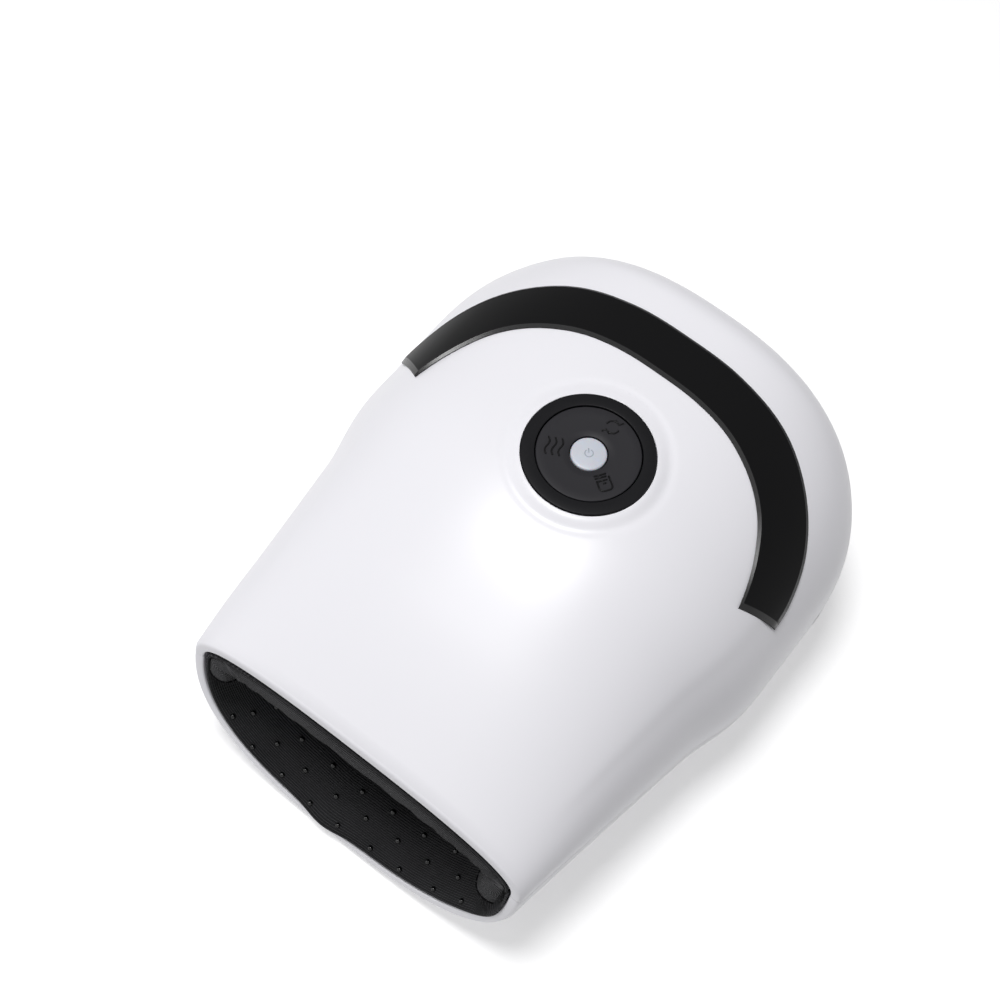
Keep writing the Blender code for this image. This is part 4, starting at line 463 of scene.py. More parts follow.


# Ribbed knit on the piece's own map, with painted shade in the grooves and between stitches
def knitted(name, paintedGrooveShade, crest, ribPitch, stitchPitch=0.0006, depth=0.00045, rough=0.88):
    material, tree, shader, where = startMaterial(name, crest)
    calc = partial(maths, tree)
    knitMap = node(tree, "ShaderNodeUVMap", uv_map="knitMap").outputs[0]
    ribs = placeGroup(tree, ribbedKnit, knitMap, Rib_Pitch=ribPitch, Stitch_Pitch=stitchPitch)
    grain = placeGroup(tree, mouldedGrain, where, Fine_Scale=1500.0, Broad_Scale=45.0)
    # painted shade: the colour falls to the dark shade colour in the grooves and between stitches
    thread = colourMix(tree, ribs["Rib"], paintedGrooveShade, crest)
    faded = calc("MULTIPLY", grain["Broad"], weave["wornShare"])
    worn = colourMix(tree, faded, thread, [c * weave["worn"] for c in crest])
    gloss = calc("MULTIPLY_ADD", ribs["Fuzz"], weave["fuzzGloss"], rough - weave["fuzzGloss"] / 2)
    constants = {"Sheen_Weight": 0.03, "Sheen_Roughness": 0.5, "Specular_IOR_Level": 0.15}
    finishShader(tree, shader, worn, gloss, ribs["Height"], depth, constants)
    return material


mouldedFinishes = {
    "shellWhite": dict(colour=(0.862, 0.856, 0.898), worn=(0.93, 0.93, 0.95), rough=0.33, shift=0.008,
                       fine=1400.0, broad=9.0, bump=0.000006, wear=0.35, specular=0.36, Coat_Weight=0.06,
                       Coat_Roughness=0.24),
    "trimBlack": dict(colour=(0.0034, 0.0034, 0.0038), worn=(0.05, 0.05, 0.055), rough=0.30, shift=0.12,
                      fine=1200.0, bump=0.00001, radius=0.0005, specular=0.07),
    # the same black plastic, polished on the bevels; its base colour, a little lighter than trimBlack's, is a
    # painted highlight
    "trimBevel": dict(colour=(0.008, 0.008, 0.0085), worn=(0.07, 0.07, 0.075), rough=0.24, shift=0.12,
                      fine=1200.0, bump=0.00001, wear=0.4, radius=0.0003, specular=0.32),
    "ringBlack": dict(colour=(0.0048, 0.0048, 0.006), worn=(0.05, 0.05, 0.055), rough=0.36, shift=0.12,
                      bump=0.000012, wear=0.4, radius=0.0003, specular=0.10),
    "plateBlack": dict(colour=(0.0155, 0.015, 0.018), worn=(0.07, 0.07, 0.075), rough=0.46, shift=0.10,
                       fine=1800.0, wear=0.35, radius=0.0003, specular=0.15),
    # mode symbols: moulded in the plate's plastic; their darker colour is painted shade of the relief
    "symbolPaintedShade": dict(colour=(0.0022, 0.0022, 0.0027), worn=(0.03, 0.03, 0.033), rough=0.30, shift=0.10,
                        fine=2200.0, bump=0.00001, wear=0.4, radius=0.0002, specular=0.12),
    "lensPale": dict(colour=(0.55, 0.575, 0.64), worn=(0.70, 0.73, 0.78), rough=0.34, shift=0.04, fine=2000.0,
                     broad=120.0, bump=0.00001, wear=0.3, radius=0.0003, Subsurface_Weight=0.15,
                     Subsurface_Scale=0.001),
    "lensMark": dict(colour=(0.25, 0.28, 0.33), worn=(0.5, 0.54, 0.6), rough=0.45, shift=0.06, fine=2000.0,
                     bump=0.00001),
    "seamThread": dict(colour=(0.002, 0.002, 0.0024), worn=(0.01, 0.01, 0.01), rough=0.8, shift=0.3,
                       fine=4000.0, bump=0.00006, wear=0.2, specular=0.04),
    "studGloss": dict(colour=(0.002, 0.002, 0.0025), worn=(0.06, 0.06, 0.07), rough=0.09, shift=0.2,
                      fine=3000.0, bump=0.000004, wear=0.0, specular=0.38),
    "frameGrey": dict(colour=(0.30, 0.31, 0.33), worn=(0.48, 0.49, 0.51), rough=0.5, bump=0.00003),
    "bladder": dict(colour=(0.42, 0.44, 0.47), worn=(0.6, 0.62, 0.64), rough=0.42, shift=0.1, broad=60.0,
                    bump=0.00005),
    "heaterFilm": dict(colour=(0.42, 0.22, 0.11), worn=(0.62, 0.38, 0.2), rough=0.5, shift=0.15, broad=90.0,
                       bump=0.00004),
    "silicone": dict(colour=(0.72, 0.73, 0.73), worn=(0.82, 0.83, 0.83), rough=0.42, bump=0.00003,
                     Subsurface_Weight=0.1, Subsurface_Scale=0.002),
    "boardGreen": dict(colour=(0.02, 0.15, 0.065), worn=(0.35, 0.28, 0.10), rough=0.4, shift=0.2, broad=220.0,
                       bump=0.00003),
    "innerBlack": dict(colour=(0.013, 0.013, 0.015), worn=(0.06, 0.06, 0.065), rough=0.42, shift=0.12),
    "nylon": dict(colour=(0.74, 0.72, 0.66), worn=(0.84, 0.82, 0.77), rough=0.5),
    "steel": dict(colour=(0.60, 0.60, 0.61), worn=(0.78, 0.78, 0.79), rough=0.34, shift=0.08, fine=2500.0,
                  broad=200.0, bump=0.00001, Metallic=1.0),
    "cellBlue": dict(colour=(0.03, 0.15, 0.33), worn=(0.2, 0.33, 0.5), rough=0.36, shift=0.08, broad=70.0,
                     bump=0.00001),
    "rubber": dict(colour=(0.022, 0.022, 0.024), worn=(0.07, 0.07, 0.07), rough=0.75, shift=0.15, fine=1600.0,
                   bump=0.00006),
}
finish = {name: moulded(name, **values) for name, values in mouldedFinishes.items()}
# the first colour is painted shade for the grooves, the second the yarn's own colour
finish["knitBlack"] = knitted("knitBlack", (0.0003, 0.0003, 0.0005), (0.052, 0.052, 0.056), ribPitch=0.00080)
finish["hemGrey"] = knitted("hemGrey", (0.001, 0.001, 0.0013), (0.102, 0.102, 0.107), ribPitch=0.00085)
print("hand massager: materials made")

# CAD nodes whose shape is right keep it and get the new finishes
cadFinishes = {
    "steel": "case_screw_* board_screw_* pump_motor pump_shaft valve_plunger",
    "shellWhite": "liner_ring",
    "innerBlack": "charging_socket *_switch buzzer pump_head valve_body",
    "frameGrey": "*_frame rear_bracket node_plate",
    "nylon": "power_plunger mode_*_plunger air_manifold",
    "boardGreen": "main_board battery_board",
    "cellBlue": "battery_cell_*",
    "silicone": "heater_thermostat",
}
for key, patterns in cadFinishes.items():
    for name in nodes:
        if any(fnmatch(name, pattern) for pattern in patterns.split()):
            for slotted in nodes[name].material_slots:
                slotted.material = finish[key]

# White shells
shell = {
    "wall": 0.0024, "rimWidth": 0.0041, "rimRound": 0.0013, "rimInner": 0.0006, "thickFrom": 0.004,
    "thickFade": 0.010, "seamGap": 0.00015, "seamRound": 0.00018, "columns": 176, "mouthRows": 26,
    "dialRows": 84, "flankRows": 10, "rearRows": 40, "dialReach": 0.031, "rearLead": 0.012, "crowding": 0.62,
}
crease = {"drop": 0.0007, "start": 0.012, "end": 0.150, "fade": 0.03, "top": 37, "soft": 8, "bottom": 14}
dial = {
    "distance": 0.1190, "face": 0.1038, "tilt": math.radians(1.4), "radius": 0.0224, "gap": 0.00025,
    "moatRadius": 0.0274, "moatDrop": 0.0007, "moatLip": 0.00025, "moatEdge": 0.0026, "buttonRadius": 0.0061,
    "cutReach": 0.02,
}
dialCentre = Vector((0, along(dial["distance"]), dial["face"]))
dialMatrix = Matrix.Translation(dialCentre) @ Matrix.Rotation(dial["tilt"], 4, "X")


# Distances of the rows, closer together round the dial
def stations():
    near, far = dial["distance"] - shell["dialReach"], dial["distance"] + shell["dialReach"]
    start = form["roundStart"] + shell["rearLead"]
    turn = np.linspace(0, quarter, shell["rearRows"] + 1)
    return np.concatenate([
        np.linspace(shell["rimRound"], near, shell["mouthRows"], endpoint=False),
        np.linspace(near, far, shell["dialRows"], endpoint=False),
        np.linspace(far, start, shell["flankRows"], endpoint=False),
        start + (seamLength - start) * np.sin(turn)])


# Angles over half a turn, closer together over the dial
def halfAngles(upper):
    count = shell["columns"]
    if not upper:
        return np.linspace(math.pi, 2 * math.pi, count // 2 + 1)
    t = np.linspace(0, 1, count + 1)
    return math.pi * (t + shell["crowding"] * np.sin(2 * math.pi * t) / (2 * math.pi))


# Heights of the outer form with the soft dish that leads down to the dial's ring
def intoMoat(points):
    x, y, z = points[..., 0], points[..., 1], points[..., 2]
    r = np.sqrt(x * x + (y - dialCentre.y) ** 2)
    floor = dial["face"] + (y - dialCentre.y) * math.tan(dial["tilt"]) - dial["moatDrop"]
    inner, outer = dial["radius"] + dial["gap"], dial["moatRadius"]
    dish = smooth((outer - r) / (outer - inner))
    lip = dial["moatLip"] * smooth((outer + dial["moatEdge"] - r) / dial["moatEdge"])
    return mix(z, floor, dish) - lip * (1 - dish)


# The soft fold along each flank, under which the side falls away a little
def creaseDrop(d, angle):
    low = np.minimum(np.abs(angle), np.abs(math.pi - angle))
    ends = smooth((d - crease["start"]) / crease["fade"]) * smooth((crease["end"] - d) / crease["fade"])
    top, soft, bottom = (math.radians(crease[key]) for key in ("top", "soft", "bottom"))
    return crease["drop"] * ends * smooth((top - low) / soft) * smooth(low / bottom)


# Rows that turn from the outer wall round the rim of the mouth to the inner wall
def rimRows(angles, shift):
    zero = np.zeros_like(angles)
    steps = roundOver(shell["rimRound"], count=7)[1:] + [(0, shell["rimWidth"] - shell["rimInner"])]
    steps += [(down, shell["rimWidth"] - side) for side, down in roundOver(shell["rimInner"], count=4)[1:]]
    rows = []
    for back, inset in steps:
        row = onCut(zero + back, bodyCut(zero), angles, -inset, -inset, shift)
        row[:, 1] = onCut(zero, bodyCut(zero), angles, -inset, -inset, shift)[:, 1] + back
        rows.append(row)
    return np.array(rows)


def buildShell(name, upper):
    width, wall = shell["rimWidth"], shell["wall"]
    shift = shell["seamGap"] if upper else -shell["seamGap"]
    depths, angles = np.meshgrid(stations(), halfAngles(upper), indexing="ij")
    outer = onCut(depths, bodyCut(depths), angles, shift=shift)
    if upper:
        outer[..., 2] = intoMoat(outer)
        outer[..., 0] -= np.sign(outer[..., 0]) * creaseDrop(depths, angles)
    within = np.minimum(depths, seamLength - wall)
    inner = onCut(within, bodyCut(within, wall), angles, shift=shift)
    thick = 1 - smooth((depths - shell["thickFrom"]) / shell["thickFade"])  # near the mouth, as the rim
    inner = mix(inner, onCut(depths, bodyCut(depths), angles, -width, -width, shift), thick[..., None])
    rim = rimRows(angles[0], shift)
    grid = np.concatenate([outer[::-1], rim, inner], axis=0)
    rows, cols = grid.shape[:2]
    faces = gridFaces(rows, cols)
    n, m = len(depths), len(rim)
    for c in (0, cols - 1):  # the two seam faces, between the outer and the inner wall
        for k in range(n - 1):
            outside, inside = (n - 1 - k) * cols + c, (n + m + k) * cols + c
            faces.append((outside, outside - cols, inside + cols, inside))
        faces.append([(n - 1 + k) * cols + c for k in range(m + 2)])
    return linked(name, closedMesh(name, grid.reshape(-1, 3), faces))


# The charging socket's hole, and a well in its own tower for each case screw
socket = {"distance": 0.1530, "rise": 0.0013, "radius": 0.0033, "reach": 0.006}
socketSeam = float(seamLine(socket["distance"]))
socketSide = float(bodyCut(socket["distance"])[0])
socketAt = Vector((socketSide, along(socket["distance"]), socketSeam + socket["rise"]))
socketReach = Vector((socket["reach"], 0, 0))
wells = {
    "side": (0.0725, 0.1165), "rear": (0.0505, 0.1735), "radius": 0.0029, "tower": 0.0040, "seatDrop": 0.0060,
    "rimReach": 0.004, "rimRise": 0.0003, "cap": 0.0012, "through": 0.02,
}


def wellAt(x, d):
    steps = (-wells["rimReach"], 0, wells["rimReach"])
    rim = max(soleHeight(x + dx, d + dy) for dx in steps for dy in steps)
    seat = float(seamLine(d)) - wells["seatDrop"]
    return Vector((x, along(d), rim + wells["rimRise"])), Vector((x, along(d), seat))


topShell, bottomShell = buildShell("topShell", True), buildShell("bottomShell", False)
dialCut = [dialMatrix @ Vector((0, 0, way * dial["cutReach"])) for way in (-1, 1)]
bore(topShell, *dialCut, dial["radius"] + dial["gap"], sides=160)
for obj in (topShell, bottomShell):
    bore(obj, socketAt - socketReach, socketAt + socketReach, socket["radius"], sides=64)
wellPlaces = [wellAt(side * x, d) for x, d in (wells["side"], wells["rear"]) for side in (-1, 1)]
for foot, seat in wellPlaces:
    bore(bottomShell, foot, seat + Vector((0, 0, wells["cap"])), wells["tower"], operation="UNION")
for foot, seat in wellPlaces:
    bore(bottomShell, foot - Vector((0, 0, wells["through"])), seat, wells["radius"])
for obj, cadNode in ((topShell, "top_shell"), (bottomShell, "bottom_shell")):
    softEdges(obj, shell["seamRound"])
    settled(painted(obj, finish["shellWhite"], sharp=40), "case", (cadNode,))
print("hand massager: shells made")

# Black arc trim, with chamfered edges
trim = {
    "innerAt": (-6, 0, 12, 22.5, 45, 67.5, 90),
    "innerRadii": (0.0684, 0.0662, 0.0622, 0.0587, 0.0494, 0.0423, 0.0396),
    "outerAt": (0, 9, 22.5, 45, 67.5, 90), "outerRadii": (0.0802, 0.0805, 0.0789, 0.0710, 0.0618, 0.0580),
    "innerOver": 0.076, "outerOver": -0.045, "rise": 0.0013, "foot": 0.00005, "chamfer": 0.0011,
    "chamferDrop": 0.0008, "width": 0.018, "steps": 150, "across": 14,
}


# One edge of the trim, from half of it, with the ends run on or cut back by an angle
def trimEdge(side):
    over = trim[side + "Over"]
    angle = mix(-over, math.pi + over, np.linspace(0, 1, trim["steps"] + 1))
    turns, radii = np.radians(trim[side + "At"]), trim[side + "Radii"]
    where = np.concatenate([turns, math.pi - turns[:-1][::-1]])
    radius = through(where, (*radii, *radii[:-1][::-1]), angle)
    return np.stack([radius * np.cos(angle), radius * np.sin(angle)], axis=-1)


def buildTrim():
    chamfer = trim["chamfer"] / trim["width"]
    middle = np.linspace(chamfer, 1 - chamfer, trim["across"])
    across = np.concatenate([[0.0], middle, [1.0]])[None, :, None]
    spot = mix(trimEdge("inner")[:, None, :], trimEdge("outer")[:, None, :], across)
    x, d = spot[..., 0], dial["distance"] + spot[..., 1]
    share = np.ones(x.shape)
    share[:, 0] = share[:, -1] = share[0, :] = share[-1, :] = 1 - trim["chamferDrop"] / trim["rise"]
    raised, foot = (
        np.stack([x, along(d), crownHeight(x, d, trim[key])], axis=-1) for key in ("rise", "foot"))
    rows, cols = x.shape
    points = np.concatenate([mix(foot, raised, share[..., None]).reshape(-1, 3), foot.reshape(-1, 3)])
    mesh = closedMesh("arcTrim", points, slabFaces(rows, cols), sharp=18)
    obj = piece("arcTrim", mesh, "case", finish["trimBlack"], ("arc_trim",))
    # the bevel faces take trimBevel: glossier, and lighter in colour as a painted highlight
    mesh.materials.append(finish["trimBevel"])
    topFaces = range((rows - 1) * (cols - 1))
    bevelled = [int(k % (cols - 1) == 0 or k // (cols - 1) in (0, rows - 2)) for k in topFaces]
    bevelled += [0] * (len(mesh.polygons) - len(bevelled))
    mesh.polygons.foreach_set("material_index", bevelled)
    return obj


buildTrim()
print("hand massager: arc trim made")


# A piece whose shape follows a rule: Geometry Nodes with named inputs, made plain at once
def ruled(name, values, material, rule, mesh=None):
    tree = bpy.data.node_groups.new(name + "Rule", "GeometryNodeTree")
    addSocket = tree.interface.new_socket
    addSocket(name="Geometry", in_out="INPUT", socket_type="NodeSocketGeometry")
    kinds = {int: "NodeSocketInt", float: "NodeSocketFloat"}
    sockets = {
        label: addSocket(name=label, in_out="INPUT", socket_type=kinds[type(value)]).identifier
        for label, value in values.items()}
    addSocket(name="Geometry", in_out="OUTPUT", socket_type="NodeSocketGeometry")
    start, end = tree.nodes.new("NodeGroupInput"), tree.nodes.new("NodeGroupOutput")
    real = node(tree, "GeometryNodeRealizeInstances", [(0, rule(tree, start.outputs))])
    coloured = node(tree, "GeometryNodeSetMaterial", [(0, real.outputs[0]), ("Material", material)])
    tree.links.new(coloured.outputs[0], end.inputs[0])
    obj = linked(name, mesh or bpy.data.meshes.new(name))
    modifier = obj.modifiers.new("rule", "NODES")
    modifier.node_group = tree
    for label, value in values.items():
        modifier[sockets[label]] = value
    bpy.context.view_layer.update()
    return plain(obj)


# Dial: the ring is a rounded profile swept round a circle
ring = {
    "Ring Radius": 0.0201, "Ring Width": 0.0045, "Ring Height": 0.0058, "Edge Round": 0.0003, "Edge Steps": 5,
    "Steps": 160,
}


def ringRule(tree, given):
    path = node(tree, "GeometryNodeCurvePrimitiveCircle",
                [("Resolution", given["Steps"]), ("Radius", given["Ring Radius"])])
    profile = node(tree, "GeometryNodeCurvePrimitiveQuadrilateral",
                   [("Width", given["Ring Width"]), ("Height", given["Ring Height"])])
    rounded = node(tree, "GeometryNodeFilletCurve", [
        ("Curve", profile.outputs[0]), ("Radius", given["Edge Round"]), ("Count", given["Edge Steps"])],
        mode="POLY")
    return node(tree, "GeometryNodeCurveToMesh",
                [("Curve", path.outputs[0]), ("Profile Curve", rounded.outputs[0])]).outputs[0]


dialRing = ruled("dialRing", ring, finish["ringBlack"], ringRule)
dialRing.data.transform(dialMatrix @ Matrix.Translation((0, 0, -ring["Ring Height"] / 2)))
cleaned(dialRing.data, sharp=50)
settled(dialRing, "case", ("dial_bezel",))


# Closed turned shapes from radius and height points, about the Z axis of each place
def turnedMesh(name, profile, steps=128, sharp=40, places=(dialMatrix,)):
    n, points, faces = len(profile), [], []
    for place in places:
        first = len(points)
        for k in range(steps):
            a, here, there = 2 * math.pi * k / steps, first + k * n, first + (k + 1) % steps * n
            points += [place @ Vector((r * math.cos(a), r * math.sin(a), z)) for r, z in profile]
            faces += [(here + i, there + i, there + (i + 1) % n, here + (i + 1) % n) for i in range(n)]
    return closedMesh(name, points, faces, sharp)


plate = {
    "radius": 0.0175, "drop": 0.0002, "thickness": 0.0022, "edge": 0.0004, "gap": 0.0004, "dish": 0.00025,
    "holeEdge": (0.0002, 0.0001),
}
plateTop, plateHole = -plate["drop"], dial["buttonRadius"] + plate["gap"]
plateFlat = plate["radius"] - plate["edge"]


def dishedHeight(share):
    return plateTop - plate["dish"] * (1 - share * share)


edgeIn, edgeDown = plate["holeEdge"]
plateProfile = [(plateHole, dishedHeight(0) - edgeDown), (plateHole + edgeIn, dishedHeight(0))]
plateProfile += [(mix(plateHole, plateFlat, t), dishedHeight(t)) for t in (0.25, 0.5, 0.75)]
plateProfile += [
    (plate["radius"] - side, plateTop - down) for side, down in roundOver(plate["edge"], count=5)]
plateProfile += [(r, plateTop - plate["thickness"]) for r in (plate["radius"], plateHole)]
plateMesh = turnedMesh("modePlate", plateProfile)
piece("modePlate", plateMesh, "mode_key", finish["plateBlack"], ("mode_plate",))

button = {"rise": -0.0003, "thickness": 0.0026, "edge": 0.0007, "crown": 0.00025}
buttonFlat = dial["buttonRadius"] - button["edge"]


def crownedHeight(share):
    return button["rise"] + button["crown"] * (1 - share * share)


buttonProfile = [(t * buttonFlat, crownedHeight(t)) for t in (0, 0.2, 0.4, 0.6, 0.8)]
buttonProfile += [
    (dial["buttonRadius"] - side, button["rise"] - down) for side, down in roundOver(button["edge"], count=6)]
buttonProfile += [(r, button["rise"] - button["thickness"]) for r in (dial["buttonRadius"], 0.0)]
buttonMesh = turnedMesh("powerButton", buttonProfile, steps=96)
piece("powerButton", buttonMesh, "power_key", finish["lensPale"], ("power_button",))

# Moulded symbols in the dial's plane: heat waves, turning arrows, a hand with pressure lines, and power
symbols = {
    "line": 0.00036, "sink": 0.00008,
    "heat": {"at": (-0.0104, -0.0051), "turn": 29, "size": 0.0066},
    "arrows": {"at": (0.0002, 0.0129), "turn": 24, "size": 0.0064},
    "hand": {"at": (0.0102, -0.0055), "turn": 56, "size": 0.0068},
    "power": {"at": (0.0, 0.0), "turn": 40, "size": 0.0034, "line": 0.00019},
}


def arcLine(cx, cy, radius, start, end, count=14):
    turns = np.radians(np.linspace(start, end, count))
    return [(cx + radius * math.cos(a), cy + radius * math.sin(a)) for a in turns]


def heatWave(x):
    return [(x + 0.09 * math.sin(t * 2 * math.pi), 0.5 - t) for t in np.linspace(0, 1, 15)]


# Lines of each symbol in a square from -0.5 to 0.5
symbolLines = {
    "heat": [heatWave(x) for x in (-0.34, 0, 0.34)],
    "arrows": [
        arcLine(0, 0, 0.36, 160, 35), arcLine(0, 0, 0.36, -20, -145),
        [(0.08, 0.42), (0.30, 0.20), (0.50, 0.36)], [(-0.08, -0.42), (-0.30, -0.20), (-0.50, -0.36)]],
    "hand": [
        [(-0.30, 0.18), *arcLine(-0.12, -0.22, 0.20, 180, 270, 6), *arcLine(0.14, -0.22, 0.20, 270, 360, 6),
         (0.34, 0.30)],
        [(-0.36, 0.46), (0.26, 0.46)], [(-0.36, 0.32), (0.22, 0.32)], [(-0.24, 0.14), (0.22, 0.14)],
        [(-0.06, -0.02), (0.10, -0.02)]],
    "power": [arcLine(0, 0, 0.40, 125, 415, 24), [(0, 0.05), (0, 0.52)]],
}


# Closed round tubes, each from a radius and its points, as one mesh
def tubes(name, lines):
    made = []
    for radius, line in lines:
        curve = bpy.data.curves.new(name, "CURVE")
        curve.dimensions = "3D"
        curve.bevel_depth = radius
        curve.bevel_resolution = 2
        curve.use_fill_caps = True
        spline = curve.splines.new("POLY")
        spline.points.add(len(line) - 1)
        for point, place in zip(spline.points, line):
            point.co = (*place, 1)
        made.append(linked(name, curve))
    bpy.context.view_layer.update()
    ready = bpy.context.evaluated_depsgraph_get()
    mesh = joinedMesh(name, [bpy.data.meshes.new_from_object(obj.evaluated_get(ready)) for obj in made])
    for obj in made:
        bpy.data.objects.remove(obj)
    return mesh


def buildSymbols(name, kinds, top, material, body):
    lines = []
    for kind in kinds:
        rule = symbols[kind]
        turn = Matrix.Rotation(math.radians(rule["turn"]), 2)
        for line in symbolLines[kind]:
            flat = [turn @ Vector(point) * rule["size"] + Vector(rule["at"]) for point in line]
            placed = [dialMatrix @ Vector((p.x, p.y, top(p.length) - symbols["sink"])) for p in flat]
            lines.append((rule.get("line", symbols["line"]), placed))
    piece(name, tubes(name, lines), body, material)


def plateHeight(r):
    return dishedHeight((r - plateHole) / (plateFlat - plateHole))


def buttonHeight(r):
    return crownedHeight(r / dial["buttonRadius"])


modeKinds = ("heat", "arrows", "hand")
# the mode symbols' darker colour is painted shade along their relief
buildSymbols("modeSymbols", modeKinds, plateHeight, finish["symbolPaintedShade"], "mode_key")
buildSymbols("powerSymbol", ("power",), buttonHeight, finish["lensMark"], "power_key")
print("hand massager: dial made")

# Valve spring: a coil by rule, as tall as the CAD spring's box
spring = {"Turns": 4.0, "Coil Radius": 0.0021, "Wire Radius": 0.00025, "Steps": 24, "Wire Sides": 10}
springSettle = 0.00002


def coilRule(tree, given):
    coil = node(tree, "GeometryNodeCurveSpiral", [
        ("Resolution", given["Steps"]), ("Rotations", given["Turns"]), ("Start Radius", given["Coil Radius"]),
        ("End Radius", given["Coil Radius"]), ("Height", given["Height"])])
    wire = node(tree, "GeometryNodeCurvePrimitiveCircle",
                [("Resolution", given["Wire Sides"]), ("Radius", given["Wire Radius"])])
    return node(tree, "GeometryNodeCurveToMesh", [
        ("Curve", coil.outputs[0]), ("Profile Curve", wire.outputs[0]), ("Fill Caps", True)]).outputs[0]


def buildSpring():
    low, high = (Vector(corner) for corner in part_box("valve_spring"))
    inset = spring["Wire Radius"] + springSettle
    foot = Vector(((low.x + high.x) / 2, (low.y + high.y) / 2, low.z + inset))
    height = high.z - low.z - 2 * inset
    obj = ruled("valveSpring", {**spring, "Height": height}, finish["steel"], coilRule)
    obj.data.transform(Matrix.Translation(foot))
    cleaned(obj.data, sharp=60)
    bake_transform(obj)
    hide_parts("valve_spring")


buildSpring()
print("hand massager: valve spring made")

# Hand space: ribbed knit panels, a padded hem with stitched ends, and studs
tunnel = {
    "halfWidth": 0.0575, "roof": 0.0640, "length": 0.162, "round": 0.018, "flare": 0.016, "power": 2.0,
    "mouthDepth": 0.0062, "floorDepth": 0.0167, "sideDepth": 0.0136, "thickness": 0.0009, "seamGap": 0.00015,
    "columns": 120, "rows": 110, "straightRows": 0.8, "ownRun": 0.25,
}
padding = {  # slow and quick waves, which fade at the mouth and the rear
    "slow": 0.0006, "slowTurns": (95, 80), "slowStart": (1.2, 0.4), "quick": 0.0004, "quickTurns": (210, 130),
    "mouthFade": 0.02, "rearFade": 0.03, "upperShare": 0.6,
}
bulge = {"x": -0.007, "width": 0.009, "depth": 0.006, "forward": 0.0016, "down": 0.0022}
rightCorner = {"angle": -0.32, "width": 0.34, "depth": 0.014, "out": 0.0019, "forwardShare": 0.5}
ribFan = {"at": (0.010, 0.005), "pitchShare": 0.6, "radius": 0.013, "fade": 0.007}


def tunnelCut(d):
    outerHalf = bodyCut(np.minimum(d, form["roundStart"]))[0]
    mouthHalf, _, mouthTop, _ = bodyCut(np.zeros_like(d))
    share = smooth(d / tunnel["flare"])
    rearHalf = np.minimum(outerHalf - tunnel["sideDepth"], tunnel["halfWidth"])
    half = mix(mouthHalf - tunnel["mouthDepth"], rearHalf, share)
    top = mix(mouthTop - tunnel["mouthDepth"], tunnel["roof"], share)
    bottom = form["sole"] + mix(tunnel["mouthDepth"], tunnel["floorDepth"], share)
    middle = seamLine(np.minimum(d, form["roundStart"]))
    end = closing(d, tunnel["length"] - tunnel["round"], tunnel["length"], tunnel["power"])
    return half * end, middle, middle + (top - middle) * end, middle - (middle - bottom) * end


# Length run along one way of a grid of points
def runAlong(points, axis):
    steps = np.linalg.norm(np.diff(points, axis=axis), axis=-1)
    return np.insert(np.cumsum(steps, axis=axis), 0, 0.0, axis=axis)


# An open grid with its maps in metres, whose faces may be turned to look into the hand space
def openMesh(name, points, maps=(), inward=True):
    mesh = rawMesh(name, points.reshape(-1, 3), gridFaces(*points.shape[:2]))
    index = np.zeros(len(mesh.loops), np.int32)
    mesh.loops.foreach_get("vertex_index", index)
    for label, (u, v) in dict(maps).items():
        values = np.stack([u.ravel(), v.ravel()], axis=-1).astype(np.float32)[index]
        mesh.uv_layers.new(name=label).data.foreach_set("uv", values.ravel())
    bm = bmesh.new()
    bm.from_mesh(mesh)
    bmesh.ops.remove_doubles(bm, verts=bm.verts, dist=welds["mesh"])
    if inward:
        bmesh.ops.reverse_faces(bm, faces=bm.faces)
    bm.to_mesh(mesh)
    bm.free()
    return smoothed(mesh)


def ripple(points):
    x, y = points[..., 0], points[..., 1]
    (slowX, slowY), (startX, startY), (quickX, quickY) = (
        padding[key] for key in ("slowTurns", "slowStart", "quickTurns"))
    slow = padding["slow"] * np.sin(x * slowX + startX) * np.sin(y * slowY + startY)
    return slow + padding["quick"] * np.sin(x * quickX + y * quickY)


# The lower knit bulges over the lip, a little left of its middle, and fills the right corner
def overLip(points, d, angle):
    near = np.exp(-((points[..., 0] - bulge["x"]) / bulge["width"]) ** 2)
    share = near * (1 - smooth(d / bulge["depth"])) * np.sin(angle) ** 2
    corner = np.exp(-((angle - 2 * math.pi - rightCorner["angle"]) / rightCorner["width"]) ** 2)
    corner = rightCorner["out"] * corner * (1 - smooth(d / rightCorner["depth"]))
    points[..., 0] += corner * np.cos(angle)
    points[..., 1] -= bulge["forward"] * share + rightCorner["forwardShare"] * corner
    points[..., 2] += corner * np.sin(angle) - bulge["down"] * share


